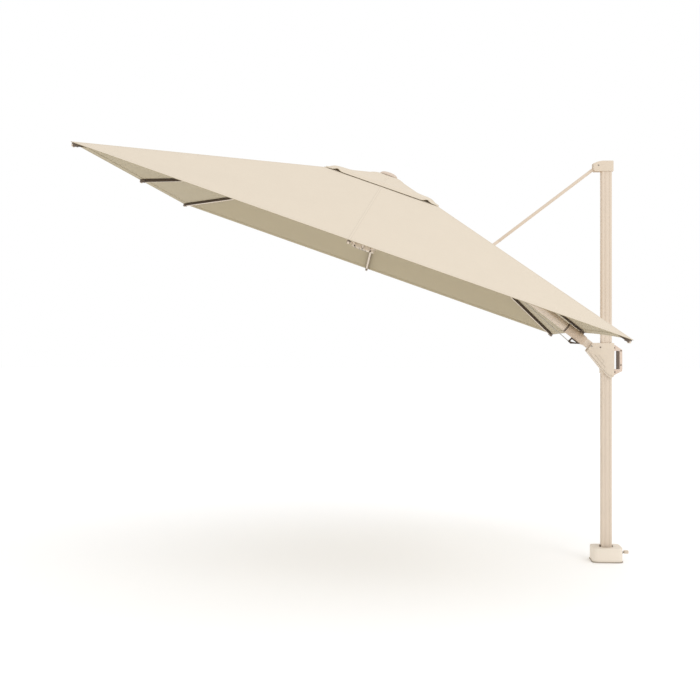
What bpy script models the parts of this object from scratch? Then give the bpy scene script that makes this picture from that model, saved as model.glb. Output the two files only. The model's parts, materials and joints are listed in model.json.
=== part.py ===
"""Cantilever parasol with a square canopy, modelled as the pieces it is assembled from.

Metres, +Z up. The origin is the centre of the socket's underside, on the mast's axis. The canopy hangs
towards -X. Every moving piece is parented to an empty on its joint's axis, and is built in its frame:
    arm frame       origin on the arm's pivot, -X outwards along the arm, +Z its upper side
    strut frame     origin on the strut's top pin, -X down along the strut
    canopy frame    origin at the centre of the canopy's rim plane, +X to the mast's side, +Z its axis
    rib frame       origin on the rib's hinge in the crown, +X out along the rib
    stretcher frame origin on the stretcher's pin in its rib, -X in towards the runner
"""

import math

import bmesh
import bpy
from mathutils import Matrix, Vector

# ---- driving dimensions ------------------------------------------------------------------------
CANOPY_SIDE = 3.000
CANOPY_RISE = 0.560
CANOPY_TILT = math.radians(19.6)
MAST_TOP = 2.507
ARM_PIVOT_X = -0.096
ARM_PIVOT_Z = 1.346
RIM_TO_PIVOT = 0.056
PIVOT_BELOW_RIM = 0.0454
ARM_HEIGHT_IN_CROWN = 0.470
STRUT_REACH = 0.906

# clearances
FIT_GAP = 0.0003
RUN_GAP = 0.0006
SIDE_GAP = 0.0010
MAST_SLIDE_GAP = 0.0020

# socket
SOCKET_X, SOCKET_Y, SOCKET_Z = 0.185, 0.165, 0.090
SOCKET_CORNER = 0.030
SOCKET_EDGE = 0.010
PLATE_THICK = 0.006
PLATE_LIP = 0.004
RECESS_GAP = 0.0011
RECESS_DEEP = 0.012
BUSH_WALL = 0.0045
SPIGOT_R = 0.0247
SPIGOT_WALL = 0.003
SPIGOT_IN_MAST = 0.170
PEDAL_HEIGHT = 0.050
PEDAL_EYE_R = 0.0065
PEDAL_REACH = 0.054
PEDAL_WIDE = 0.030
PEDAL_PIN_R = 0.0030
PAD_SEAT = 0.0010
BLADE_THICK, BLADE_END = 0.0045, 0.034

# mast
MAST_X, MAST_Y = 0.066, 0.058
MAST_WALL = 0.003
MAST_CORNER = 0.008
GROOVE_WIDE, GROOVE_DEEP = 0.006, 0.0014
GROOVE_AT = 0.014
RECESS_R = math.hypot(MAST_X / 2, MAST_Y / 2) + RECESS_GAP
CAP_WALL = 0.006
CAP_NOSE = 0.082
CAP_DEEP = 0.065
CAP_NOSE_DROP = 0.016
CAP_BACK_WALL = 0.008
CAP_COVERS = 0.028
STRUT_PIN_X = -0.052
STRUT_PIN_BELOW_TOP = 0.029
STRUT_PIN_R = 0.005
STRUT_HEAD_R = 0.0100
STRUT_HEAD_WIDE = 0.022

# strut
STRUT_R = 0.010
STRUT_WALL = 0.0018
STRUT_PLUG = 0.030
FORK_LONG = 0.175
FORK_STRAIGHT = 0.125
FORK_THICK = 0.006
FORK_EYE_R = 0.015
EYE_INSET = 0.0002
FORK_PIN_R = 0.006
FORK_HEAD_R = 0.0095
FORK_HEAD_THICK = 0.004

# arm
ARM_R = 0.0275
ARM_WALL = 0.002
ARM_TUBE_FROM = 0.062
KNUCKLE_EYE_R = 0.017
KNUCKLE_HALF = 0.0165
KNUCKLE_FACE = 0.038
KNUCKLE_NECK_R = 0.0245
KNUCKLE_END = 0.048
KNUCKLE_SPIGOT_R = 0.0250
KNUCKLE_SPIGOT_TO = 0.165
SLEEVE_FROM, SLEEVE_TO = 0.050, 0.184
SLEEVE_WALL = 0.0030
SLEEVE_NOSE = 0.014
RING_LONG = 0.010
RING_WALL = 0.0045
COLLAR_LONG = 0.044
COLLAR_WALL = 0.0050
COLLAR_BOSS_R = 0.013
CLEAT_AT = 0.092
CLEAT_BASE, CLEAT_WIDE = 0.070, 0.018
CLEAT_DROP = 0.044
GUIDE_AT = 0.585
GUIDE_R = 0.008
PULL_CORD_R = 0.0025
TUBE_TO_CROWN = 0.095

# crown and runner
HINGE_HEIGHT = 0.520
HINGE_RADIUS = 0.075
HUB_R = 0.084
HUB_THICK = 0.026
SLOT_DEEP = 0.024
SLOT_GAP = 0.00075
BRACKET_HALF = 0.024
CROWN_PLUG = 0.055
FINIAL_R = 0.057
FINIAL_UNDER = 0.5465
FINIAL_RISE = 0.026
FINIAL_STEM_R = 0.011
RUNNER_HEIGHT = 0.062
RUNNER_RADIUS = 0.062
RUNNER_R = 0.074
RUNNER_THICK = 0.026
RUNNER_BORE = 0.014
FERRULE_R = 0.0085
FERRULE_LONG = 0.036
HOIST_CORD_R = 0.0020

# ribs and stretchers
RIB_WIDE, RIB_HIGH = 0.014, 0.020
SLOT_WIDE = RIB_WIDE + 2 * SLOT_GAP
RIB_WALL = 0.0015
RIB_TIP_INSET = 0.016
RIB_BELOW_FABRIC = 0.0135
RIB_EYE_R = 0.0090
FIXED_RIB_HIGH = 0.014
MID_PIN_AT = 0.655
PIN_DROP = 0.020
FOLDED_ANGLE = math.radians(84.0)
STRETCHER_WIDE, STRETCHER_HIGH = 0.010, 0.012
LUG_HALF, LUG_DEEP = 0.024, 0.027
LUG_WALL = 0.0020

# fabric
FABRIC_THICK = 0.001
TOP_OPENING = 0.300
RIM_BOW = 0.025
GORE_GAP = 0.0006
VENT_HALF = 0.3625
VENT_RIM_HEIGHT = 0.445
VENT_SLOPE = 0.33
VENT_FLAT_HEIGHT = 0.5445
VENT_HOLE = 0.016
SLIT_HALF = 0.062
SLIT_OUTER, SLIT_INNER = 0.030, 0.150

# handle, in the mast's own axes, measured from the arm's pivot
HANDLE_HALF = 0.040
LINER_WALL = 0.0025
HEAD_TOP = 0.020
HEAD_FACE_TOP = (0.005, 0.020)
HEAD_FACE_LOW = (-0.0300, -0.0280)
BODY_LOW = (0.118, -0.197)
BODY_RIGHT = 0.141
CHIN = (0.064, -0.147)
GRIP_OUT = 0.195
GRIP_THICK = 0.017
GRIP_HALF = 0.0150
GRIP_TOP, GRIP_SHOULDER = 0.006, -0.024
GRIP_LOW, GRIP_CHIN = -0.183, -0.156
GRIP_OPEN_TOP, GRIP_OPEN_LOW = -0.029, -0.144
GRIP_PLATE = 0.0035
TRIGGER_TRAVEL = 0.006
TRIGGER_THICK = 0.010
TRIGGER_HALF = 0.0095
TRIGGER_TAB = 0.006
KNUCKLE_PIN_R = 0.0050

SIDES = 32

# ---- values that follow from them --------------------------------------------------------------
HALF = CANOPY_SIDE / 2
TILT_X = Vector((math.cos(CANOPY_TILT), 0, -math.sin(CANOPY_TILT)))
TILT_Z = Vector((math.sin(CANOPY_TILT), 0, math.cos(CANOPY_TILT)))
ARM_PIVOT = Vector((ARM_PIVOT_X, 0, ARM_PIVOT_Z))
PIVOT_IN_CANOPY = Vector((HALF + RIM_TO_PIVOT, 0, -PIVOT_BELOW_RIM))
CANOPY_CENTRE = ARM_PIVOT - TILT_X * PIVOT_IN_CANOPY.x - TILT_Z * PIVOT_IN_CANOPY.z
ARM_IN_CANOPY = math.atan2(ARM_HEIGHT_IN_CROWN + PIVOT_BELOW_RIM, PIVOT_IN_CANOPY.x)
ARM_LENGTH = math.hypot(ARM_HEIGHT_IN_CROWN + PIVOT_BELOW_RIM, PIVOT_IN_CANOPY.x)
ARM_ANGLE = CANOPY_TILT + ARM_IN_CANOPY
STRUT_PIN = Vector((STRUT_PIN_X, 0, MAST_TOP - STRUT_PIN_BELOW_TOP))
STRUT_FOOT = ARM_PIVOT + STRUT_REACH * Vector((-math.cos(ARM_ANGLE), 0, math.sin(ARM_ANGLE)))
STRUT_LENGTH = (STRUT_PIN - STRUT_FOOT).length
STRUT_ANGLE = math.atan2(STRUT_PIN.z - STRUT_FOOT.z, STRUT_PIN.x - STRUT_FOOT.x)
SLEEVE_R = ARM_R + FIT_GAP + SLEEVE_WALL
RECESS_FLOOR = SOCKET_Z - RECESS_DEEP
BUSH_R = SPIGOT_R + RUN_GAP + BUSH_WALL
FORK_INNER = ARM_R + RUN_GAP + COLLAR_WALL + 0.008
RIB_SLOPE = {
    "corner": math.atan2(HINGE_HEIGHT + RIB_BELOW_FABRIC, HALF * math.sqrt(2) - HINGE_RADIUS),
    "mid": math.atan2(HINGE_HEIGHT + RIB_BELOW_FABRIC, HALF - HINGE_RADIUS),
}
FIXED_RIB_SLOPE = math.atan2(
    HINGE_HEIGHT - RIM_BOW + FABRIC_THICK + RUN_GAP + FIXED_RIB_HIGH / 2 + 0.001, HALF - HINGE_RADIUS
)
RIBS = [
    ("outer", 180.0, "mid"),
    ("near", -90.0, "mid"),
    ("far", 90.0, "mid"),
    ("outer_near", -135.0, "corner"),
    ("outer_far", 135.0, "corner"),
    ("mast_near", -45.0, "corner"),
    ("mast_far", 45.0, "corner"),
]
MAST_SIDE_AZIMUTH = 0.0

# ---- colours -----------------------------------------------------------------------------------
SAND_PAINT = ("sand_powder_coat", (0.76, 0.65, 0.55), 0.45, 0.0)
PALE_PLASTIC = ("pale_nylon", (0.80, 0.71, 0.60), 0.50, 0.0)
DARK_PLASTIC = ("dark_acetal", (0.10, 0.085, 0.07), 0.45, 0.0)
STEEL = ("zinc_plated_steel", (0.62, 0.61, 0.58), 0.35, 1.0)
CANVAS = ("sand_canvas", (0.80, 0.72, 0.58), 0.90, 0.0)
BRAID = ("grey_braid", (0.45, 0.43, 0.40), 0.85, 0.0)


def material(finish):
    name, colour, roughness, metallic = finish
    found = bpy.data.materials.get(name)
    if found:
        return found
    made = bpy.data.materials.new(name)
    made.use_nodes = True
    shader = made.node_tree.nodes["Principled BSDF"]
    shader.inputs["Base Color"].default_value = (*colour, 1.0)
    shader.inputs["Roughness"].default_value = roughness
    shader.inputs["Metallic"].default_value = metallic
    return made


def frame_empty(name, parent=None, place=(0, 0, 0), turn_y=0.0, turn_z=0.0):
    """An empty that is turned about its own Y after it is turned about its parent's Z."""
    empty = bpy.data.objects.new(name, None)
    bpy.context.scene.collection.objects.link(empty)
    empty.parent = parent
    empty.location = place
    empty.rotation_mode = "XYZ"
    empty.rotation_euler = (Matrix.Rotation(turn_z, 3, "Z") @ Matrix.Rotation(turn_y, 3, "Y")).to_euler()
    empty.empty_display_size = 0.05
    return empty


def piece(name, mesh, finish, parent):
    """A named object of one closed solid, in its parent's frame."""
    work = bmesh.new()
    work.from_mesh(mesh)
    bmesh.ops.recalc_face_normals(work, faces=work.faces)
    work.to_mesh(mesh)
    work.free()
    mesh.name = name
    made = bpy.data.objects.new(name, mesh)
    bpy.context.scene.collection.objects.link(made)
    made.parent = parent
    mesh.materials.append(material(finish))
    mesh.shade_smooth()
    mesh.set_sharp_from_angle(angle=math.radians(35))
    return made


def done(work):
    mesh = bpy.data.meshes.new("solid")
    work.to_mesh(mesh)
    work.free()
    return mesh


def extruded(loops, low, high, axis="Y", place=(0, 0, 0)):
    """A prism between low and high along an axis. The first loop is its outline, and the others are holes.
    A loop's points are (x, z) for axis Y, (x, y) for Z, and (y, z) for X."""
    put = {
        "Y": lambda p, h: Vector((p[0], h, p[1])),
        "Z": lambda p, h: Vector((p[0], p[1], h)),
        "X": lambda p, h: Vector((h, p[0], p[1])),
    }[axis]
    work = bmesh.new()
    rims = []
    for loop in loops:
        low_ring = [work.verts.new(put(p, low) + Vector(place)) for p in loop]
        high_ring = [work.verts.new(put(p, high) + Vector(place)) for p in loop]
        rims.append((low_ring, high_ring))
        for i in range(len(loop)):
            j = (i + 1) % len(loop)
            work.faces.new((low_ring[i], low_ring[j], high_ring[j], high_ring[i]))
    for side in (0, 1):
        edges = []
        for rim in rims:
            ring = rim[side]
            edges += [work.edges.get((ring[i], ring[(i + 1) % len(ring)])) for i in range(len(ring))]
        bmesh.ops.triangle_fill(work, edges=edges, use_beauty=True)
    return done(work)


def arc(centre, radius, start, end, steps):
    """Points on an arc between two angles in degrees, both ends included."""
    return [
        (
            centre[0] + radius * math.cos(math.radians(start + (end - start) * i / steps)),
            centre[1] + radius * math.sin(math.radians(start + (end - start) * i / steps)),
        )
        for i in range(steps + 1)
    ]


def circle(centre, radius, steps=SIDES):
    return arc(centre, radius, 0, 360, steps)[:-1]


def rounded_rectangle(half_x, half_y, corner, steps=4, centre=(0, 0)):
    points = []
    for sx, sy, start in ((1, 1, 0), (-1, 1, 90), (-1, -1, 180), (1, -1, 270)):
        middle = (centre[0] + sx * (half_x - corner), centre[1] + sy * (half_y - corner))
        points += arc(middle, corner, start, start + 90, steps)
    return points


def rounded_outline(points, radius, steps=3):
    """The outline with each of its corners replaced by an arc that touches both its sides."""
    out = []
    count = len(points)
    for i in range(count):
        here = Vector(points[i])
        back = (Vector(points[i - 1]) - here).normalized()
        ahead = (Vector(points[(i + 1) % count]) - here).normalized()
        half_angle = back.angle(ahead) / 2
        centre = here + (back + ahead).normalized() * (radius / math.sin(half_angle))
        first = here + back * (radius / math.tan(half_angle)) - centre
        last = here + ahead * (radius / math.tan(half_angle)) - centre
        start = math.degrees(math.atan2(first.y, first.x))
        sweep = (math.degrees(math.atan2(last.y, last.x)) - start + 180) % 360 - 180
        out += arc(centre, radius, start, start + sweep, steps)
    return out


def turned(profile, place=(0, 0, 0), axis="Z", sides=SIDES):
    """A solid of revolution about an axis. The profile is a closed loop of (radius, height) points, and a
    point at radius zero lies on the axis."""
    quarter = math.pi / 2
    turn = {"Z": Matrix(), "X": Matrix.Rotation(quarter, 4, "Y"), "Y": Matrix.Rotation(-quarter, 4, "X")}
    work = bmesh.new()
    rings = []
    for radius, height in profile:
        if radius < 1e-9:
            rings.append([work.verts.new((0, 0, height))] * sides)
        else:
            rings.append([
                work.verts.new((radius * math.cos(angle), radius * math.sin(angle), height))
                for angle in (2 * math.pi * k / sides for k in range(sides))
            ])
    for i in range(len(rings)):
        ring, after = rings[i], rings[(i + 1) % len(rings)]
        for k in range(sides):
            m = (k + 1) % sides
            corners = []
            for v in (ring[k], ring[m], after[m], after[k]):
                if v not in corners:
                    corners.append(v)
            if len(corners) > 2:
                work.faces.new(corners)
    work.transform(Matrix.Translation(Vector(place)) @ turn[axis])
    return done(work)


def pipe(outer, inner, low, high, place=(0, 0, 0), axis="Z", sides=SIDES):
    return turned([(outer, low), (outer, high), (inner, high), (inner, low)], place, axis, sides)


def rod(radius, low, high, place=(0, 0, 0), axis="Z", sides=SIDES):
    return turned([(0, low), (radius, low), (radius, high), (0, high)], place, axis, sides)


def cut(target, cutter_mesh, operation="DIFFERENCE"):
    """Cuts a mesh, given in the target's own frame, out of the target, or joins it on."""
    work = bmesh.new()
    work.from_mesh(cutter_mesh)
    bmesh.ops.recalc_face_normals(work, faces=work.faces)
    work.to_mesh(cutter_mesh)
    work.free()
    cutter = bpy.data.objects.new(target.name + "_cutter", cutter_mesh)
    bpy.context.scene.collection.objects.link(cutter)
    cutter.parent = target
    cutter.hide_render = True
    cutter.display_type = "WIRE"
    step = target.modifiers.new("shape", "BOOLEAN")
    step.operation = operation
    step.object = cutter
    return cutter


def block(low, high):
    """A box between two corners."""
    return extruded(
        [[(low[0], low[2]), (high[0], low[2]), (high[0], high[2]), (low[0], high[2])]], low[1], high[1], "Y"
    )


# ---- socket ------------------------------------------------------------------------------------
def base_plate(parent):
    outline = rounded_rectangle(SOCKET_X / 2 + PLATE_LIP, SOCKET_Y / 2 + PLATE_LIP, SOCKET_CORNER)
    return piece("base_plate", extruded([outline], 0, PLATE_THICK, "Z"), DARK_PLASTIC, parent)


def base_socket(parent):
    """A rounded casting with a stepped bore: a wide recess that clears the mast, and a bore for the bush."""
    outline = rounded_rectangle(SOCKET_X / 2, SOCKET_Y / 2, SOCKET_CORNER)
    low = PLATE_THICK + FIT_GAP
    made = piece("base_socket", extruded([outline], low, SOCKET_Z, "Z"), SAND_PAINT, parent)
    top = made.modifiers.new("top_edge", "BEVEL")
    top.width = SOCKET_EDGE
    top.segments = 3
    top.limit_method = "ANGLE"
    top.angle_limit = math.radians(60)
    cut(made, turned([
        (0, low + PLATE_THICK),
        (BUSH_R + FIT_GAP, low + PLATE_THICK),
        (BUSH_R + FIT_GAP, RECESS_FLOOR),
        (RECESS_R, RECESS_FLOOR),
        (RECESS_R, SOCKET_Z + SOCKET_EDGE),
        (0, SOCKET_Z + SOCKET_EDGE),
    ]))
    gap = PEDAL_WIDE / 2 + SIDE_GAP
    cut(made, block(
        (SOCKET_X / 2 - 2 * PEDAL_EYE_R - 0.006, -gap, PEDAL_HEIGHT - PEDAL_EYE_R - 0.005),
        (SOCKET_X, gap, PEDAL_HEIGHT + PEDAL_EYE_R + 0.005),
    ))
    return made


def swivel_bush(parent):
    """A flanged bush that the mast's spigot turns in."""
    low = PLATE_THICK * 2 + 2 * FIT_GAP
    flange = RECESS_FLOOR + FIT_GAP
    inner = SPIGOT_R + RUN_GAP
    return piece("swivel_bush", turned([
        (inner, low),
        (BUSH_R, low),
        (BUSH_R, flange),
        (RECESS_R - SIDE_GAP, flange),
        (RECESS_R - SIDE_GAP, flange + 0.002),
        (inner, flange + 0.002),
    ]), DARK_PLASTIC, parent)


def pedal_pin(parent):
    x = SOCKET_X / 2 - PEDAL_EYE_R - 0.001
    half = PEDAL_WIDE / 2 + SIDE_GAP - FIT_GAP
    return piece("pedal_pin", rod(PEDAL_PIN_R, -half, half, (x, 0, PEDAL_HEIGHT), "Y", 16), STEEL, parent)


def pedal_lever(parent):
    """A flat lever whose eye turns on the pin inside the socket's slot."""
    half = PEDAL_WIDE / 2
    eye = arc((0, 0), PEDAL_EYE_R, 60, 300, 10)
    blade = [(0.018, -0.0045), (0.024, PAD_SEAT), (BLADE_END, PAD_SEAT), (BLADE_END, PAD_SEAT + BLADE_THICK)]
    blade += [(0.016, PAD_SEAT + BLADE_THICK)]
    hole = circle((0, 0), PEDAL_PIN_R + RUN_GAP, 16)
    mesh = extruded([eye + blade, hole], -half + 0.004, half - 0.004)
    return piece("pedal_lever", mesh, DARK_PLASTIC, parent)


def pedal_pad(parent):
    """The rounded tread on the lever's end, with a pocket that the blade fills."""
    outline = rounded_rectangle(0.0145, PEDAL_WIDE / 2, 0.006, 4, (PEDAL_REACH - 0.0145, 0))
    made = piece("pedal_pad", extruded([outline], -0.0035, 0.0125, "Z"), SAND_PAINT, parent)
    half = PEDAL_WIDE / 2 - 0.004 + FIT_GAP
    low, high = PAD_SEAT - FIT_GAP, PAD_SEAT + BLADE_THICK + FIT_GAP
    cut(made, block((0, -half, low), (BLADE_END + FIT_GAP, half, high)))
    return made


# ---- mast --------------------------------------------------------------------------------------
def mast_outline(half_x, half_y, corner, groove_deep):
    """A rounded rectangle with two shallow grooves along each of its four sides."""
    points = []
    for turn in range(4):
        along, across = (half_y, half_x) if turn % 2 == 0 else (half_x, half_y)
        side = []
        for centre in (-GROOVE_AT, GROOVE_AT):
            side += [
                (across, centre - GROOVE_WIDE / 2),
                (across - groove_deep, centre - GROOVE_WIDE / 4),
                (across - groove_deep, centre + GROOVE_WIDE / 4),
                (across, centre + GROOVE_WIDE / 2),
            ]
        side += arc((across - corner, along - corner), corner, 0, 90, 4)
        angle = turn * math.pi / 2
        points += [
            (x * math.cos(angle) - y * math.sin(angle), x * math.sin(angle) + y * math.cos(angle))
            for x, y in side
        ]
    return points


def mast_tube(parent):
    low, high = RECESS_FLOOR + 2 * FIT_GAP + 0.002 + RUN_GAP, MAST_TOP - CAP_DEEP + CAP_COVERS
    outer = mast_outline(MAST_X / 2, MAST_Y / 2, MAST_CORNER, GROOVE_DEEP)
    inner = rounded_rectangle(
        MAST_X / 2 - MAST_WALL, MAST_Y / 2 - MAST_WALL, MAST_CORNER - MAST_WALL / 2
    )
    return piece("mast_tube", extruded([outer, inner], low, high, "Z"), SAND_PAINT, parent)


def mast_spigot(parent):
    """The steel tube in the mast's foot that turns in the bush."""
    low = PLATE_THICK * 2 + 3 * FIT_GAP
    return piece("mast_spigot", pipe(SPIGOT_R, SPIGOT_R - SPIGOT_WALL, low, SPIGOT_IN_MAST), STEEL, parent)


def top_cap(parent):
    """The cap on the mast's head. Its nose is a clevis for the strut, open at its end and below."""
    low = MAST_TOP - CAP_DEEP
    back = MAST_X / 2 + CAP_BACK_WALL
    outline = [
        (back, low), (back, MAST_TOP - 0.003), (back - 0.003, MAST_TOP), (-0.030, MAST_TOP),
        (-0.058, MAST_TOP - 0.006), (-CAP_NOSE, MAST_TOP - CAP_NOSE_DROP),
        (-CAP_NOSE, low + 0.010), (-0.074, low),
    ]
    half = MAST_Y / 2 + CAP_WALL
    made = piece("top_cap", extruded([outline], -half, half), SAND_PAINT, parent)
    seat = rounded_rectangle(MAST_X / 2 + FIT_GAP, MAST_Y / 2 + FIT_GAP, MAST_CORNER)
    cut(made, extruded([seat], low - 0.010, low + CAP_COVERS + FIT_GAP, "Z"))
    slot = STRUT_HEAD_WIDE / 2 + SIDE_GAP
    cut(made, block(
        (-CAP_NOSE - 0.010, -slot, low - 0.010),
        (STRUT_PIN_X + STRUT_HEAD_R + 0.0015, slot, STRUT_PIN.z + STRUT_HEAD_R + 0.0015),
    ))
    cut(made, rod(STRUT_PIN_R + FIT_GAP, -half * 2, half * 2, STRUT_PIN, "Y", 24))
    return made


def strut_pin(parent):
    half = MAST_Y / 2 + CAP_WALL
    mesh = rod(STRUT_PIN_R, -half + 0.001, half - 0.001, STRUT_PIN, "Y", 24)
    return piece("strut_pin", mesh, STEEL, parent)


# ---- strut -------------------------------------------------------------------------------------
def strut_head(parent):
    """The strut's upper end: an eye on the top pin, and a round plug inside the tube."""
    half = STRUT_HEAD_WIDE / 2
    neck = STRUT_HEAD_R - 0.0008
    eye = arc((0, 0), STRUT_HEAD_R, -112, 112, 16)
    outline = eye + [(-0.034, neck), (-0.034, -neck)]
    hole = circle((0, 0), STRUT_PIN_R + RUN_GAP, 24)
    made = piece("strut_head", extruded([outline, hole], -half, half), STEEL, parent)
    cut(made, rod(STRUT_R - STRUT_WALL - FIT_GAP, -0.030 - STRUT_PLUG, -0.030, (0, 0, 0), "X", 16), "UNION")
    return made


def strut_rod(parent):
    low = -STRUT_LENGTH + FORK_LONG + FIT_GAP
    return piece(
        "strut_rod", pipe(STRUT_R, STRUT_R - STRUT_WALL, low, -0.034 - FIT_GAP, (0, 0, 0), "X", 24),
        SAND_PAINT, parent
    )


def strut_fork(parent):
    """A fork that straddles the arm and the rib on it, with an eye in each cheek."""
    out = FORK_INNER + FORK_THICK
    foot, top = -STRUT_LENGTH, -STRUT_LENGTH + FORK_LONG
    bend = foot + FORK_STRAIGHT
    neck = STRUT_R + 0.001
    root = foot + FORK_PIN_R + 0.003
    side = [(root, FORK_INNER), (root, out), (bend + 0.003, out), (top - 0.006, neck), (top, neck)]
    crotch = [(bend, -FORK_INNER), (top - 0.024, 0), (bend, FORK_INNER)]
    outline = side + [(x, -y) for x, y in side[::-1]] + crotch
    made = piece("strut_fork", extruded([outline], -STRUT_R, STRUT_R, "Z"), SAND_PAINT, parent)
    plug = STRUT_R - STRUT_WALL - FIT_GAP
    cut(made, rod(plug, top - 0.004, top + STRUT_PLUG, (0, 0, 0), "X", 16), "UNION")
    for hand in (-1, 1):
        ends = sorted((hand * (FORK_INNER + EYE_INSET), hand * (out - EYE_INSET)))
        cut(made, rod(FORK_EYE_R, *ends, (foot, 0, 0), "Y", 24), "UNION")
    cut(made, rod(FORK_PIN_R + RUN_GAP, -2 * out, 2 * out, (foot, 0, 0), "Y", 24))
    return made


# ---- arm's fixed bearings, which don't roll with it ----------------------------------------------
def arm_knuckle(parent):
    """A forged end: an eye and a flat neck between the handle's cheeks, and a spigot the arm rolls on."""
    eye = arc((0, 0), KNUCKLE_EYE_R, -90, 90, 14)
    neck = KNUCKLE_NECK_R
    outline = eye + [(-0.006, neck), (-KNUCKLE_END, neck), (-KNUCKLE_END, -neck), (-0.006, -neck)]
    hole = circle((0, 0), KNUCKLE_PIN_R + RUN_GAP, 24)
    made = piece(
        "arm_knuckle", extruded([outline, hole], -KNUCKLE_HALF, KNUCKLE_HALF), SAND_PAINT, parent
    )
    cut(made, turned([
        (0, -KNUCKLE_SPIGOT_TO),
        (KNUCKLE_SPIGOT_R - 0.003, -KNUCKLE_SPIGOT_TO),
        (KNUCKLE_SPIGOT_R, -KNUCKLE_SPIGOT_TO + 0.003),
        (KNUCKLE_SPIGOT_R, -KNUCKLE_END + 0.001),
        (KNUCKLE_SPIGOT_R - 0.002, -KNUCKLE_FACE),
        (0, -KNUCKLE_FACE),
    ], (0, 0, 0), "X"), "UNION")
    return made


def strut_collar(parent):
    """A ring round the arm with a trunnion boss on each side for the strut's fork."""
    inner = ARM_R + RUN_GAP
    outer = inner + COLLAR_WALL
    half = COLLAR_LONG / 2
    made = piece("strut_collar", rod(outer, -half, half, (-STRUT_REACH, 0, 0), "X"), SAND_PAINT, parent)
    boss = FORK_INNER - SIDE_GAP
    cut(made, rod(COLLAR_BOSS_R, -boss, boss, (-STRUT_REACH, 0, 0), "Y", 24), "UNION")
    cut(made, rod(inner, -STRUT_REACH - COLLAR_LONG, -STRUT_REACH + COLLAR_LONG, (0, 0, 0), "X"))
    for side in (-1, 1):
        ends = sorted((side * (inner + 0.0025), side * (FORK_INNER + 0.010)))
        cut(made, rod(FORK_PIN_R, *ends, (-STRUT_REACH, 0, 0), "Y", 24))
    return made


def fork_pin(parent, name, side):
    """A shouldered pin from the collar's boss out through the fork's cheek."""
    inner = ARM_R + RUN_GAP + 0.003
    head = FORK_INNER + FORK_THICK + FIT_GAP
    profile = [
        (0, inner), (FORK_PIN_R - FIT_GAP, inner), (FORK_PIN_R - FIT_GAP, head), (FORK_HEAD_R, head),
        (FORK_HEAD_R, head + FORK_HEAD_THICK - 0.001), (FORK_HEAD_R - 0.001, head + FORK_HEAD_THICK),
        (0, head + FORK_HEAD_THICK),
    ]
    profile = [(r, side * h) for r, h in profile]
    return piece(name, turned(profile, (-STRUT_REACH, 0, 0), "Y", 24), STEEL, parent)


# ---- rolling arm ---------------------------------------------------------------------------------
def arm_tube(parent):
    high = -ARM_TUBE_FROM
    low = -ARM_LENGTH + TUBE_TO_CROWN / math.cos(ARM_IN_CANOPY)
    return piece("arm_tube", pipe(ARM_R, ARM_R - ARM_WALL, low, high, (0, 0, 0), "X"), SAND_PAINT, parent)


def arm_sleeve(parent):
    """The thicker sleeve at the arm's root, its end turned down towards the knuckle."""
    inner = ARM_R + FIT_GAP
    return piece("arm_sleeve", turned([
        (inner, -SLEEVE_TO),
        (SLEEVE_R, -SLEEVE_TO),
        (SLEEVE_R, -SLEEVE_FROM - SLEEVE_NOSE),
        (SLEEVE_R - SLEEVE_WALL / 4, -SLEEVE_FROM - SLEEVE_NOSE / 3),
        (SLEEVE_R - SLEEVE_WALL * 2 / 3, -SLEEVE_FROM),
        (inner, -SLEEVE_FROM),
    ], (0, 0, 0), "X"), SAND_PAINT, parent)


def arm_ring(parent):
    low = -SLEEVE_TO - FIT_GAP - RING_LONG
    high = -SLEEVE_TO - FIT_GAP
    inner = ARM_R + FIT_GAP
    outer = inner + RING_WALL - 0.001
    return piece("arm_ring", turned([
        (inner, low), (outer - 0.0015, low), (outer, low + 0.0015),
        (outer, high - 0.0015), (outer - 0.0015, high), (inner, high),
    ], (0, 0, 0), "X"), DARK_PLASTIC, parent)


def cord_cleat(parent):
    """A folded bracket under the sleeve, with a triangular window; the pull cord hangs from its tip."""
    top = -SLEEVE_R + 0.0035
    outer, inner = -CLEAT_AT - CLEAT_BASE / 2, -CLEAT_AT + CLEAT_BASE / 2
    tip = (outer + 0.008, -SLEEVE_R - CLEAT_DROP + 0.012)
    outline = rounded_outline([
        (outer, top), (outer - 0.004, tip[1]), (tip[0] + 0.010, tip[1] - 0.002), (inner, top)
    ], 0.003)
    window = rounded_outline([
        (outer + 0.0075, -SLEEVE_R - 0.006), (outer + 0.0065, tip[1] + 0.008),
        (inner - 0.024, -SLEEVE_R - 0.006),
    ], 0.0015)
    half = CLEAT_WIDE / 2
    made = piece("cord_cleat", extruded([outline, window], -half, half), SAND_PAINT, parent)
    cut(made, rod(SLEEVE_R + FIT_GAP, -0.200, 0.0, (0, 0, 0), "X", 2 * SIDES))
    return made


def cord_guide(parent):
    """A small eyelet block under the arm, where the pull cord goes in."""
    outline = rounded_rectangle(0.016, GUIDE_R, 0.004, 3, (-GUIDE_AT, 0))
    made = piece("cord_guide", extruded([outline], -ARM_R - 0.006, -ARM_R + 0.004, "Z"), DARK_PLASTIC, parent)
    cut(made, rod(ARM_R + FIT_GAP, -GUIDE_AT - 0.050, -GUIDE_AT + 0.050, (0, 0, 0), "X", 2 * SIDES))
    return made


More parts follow.
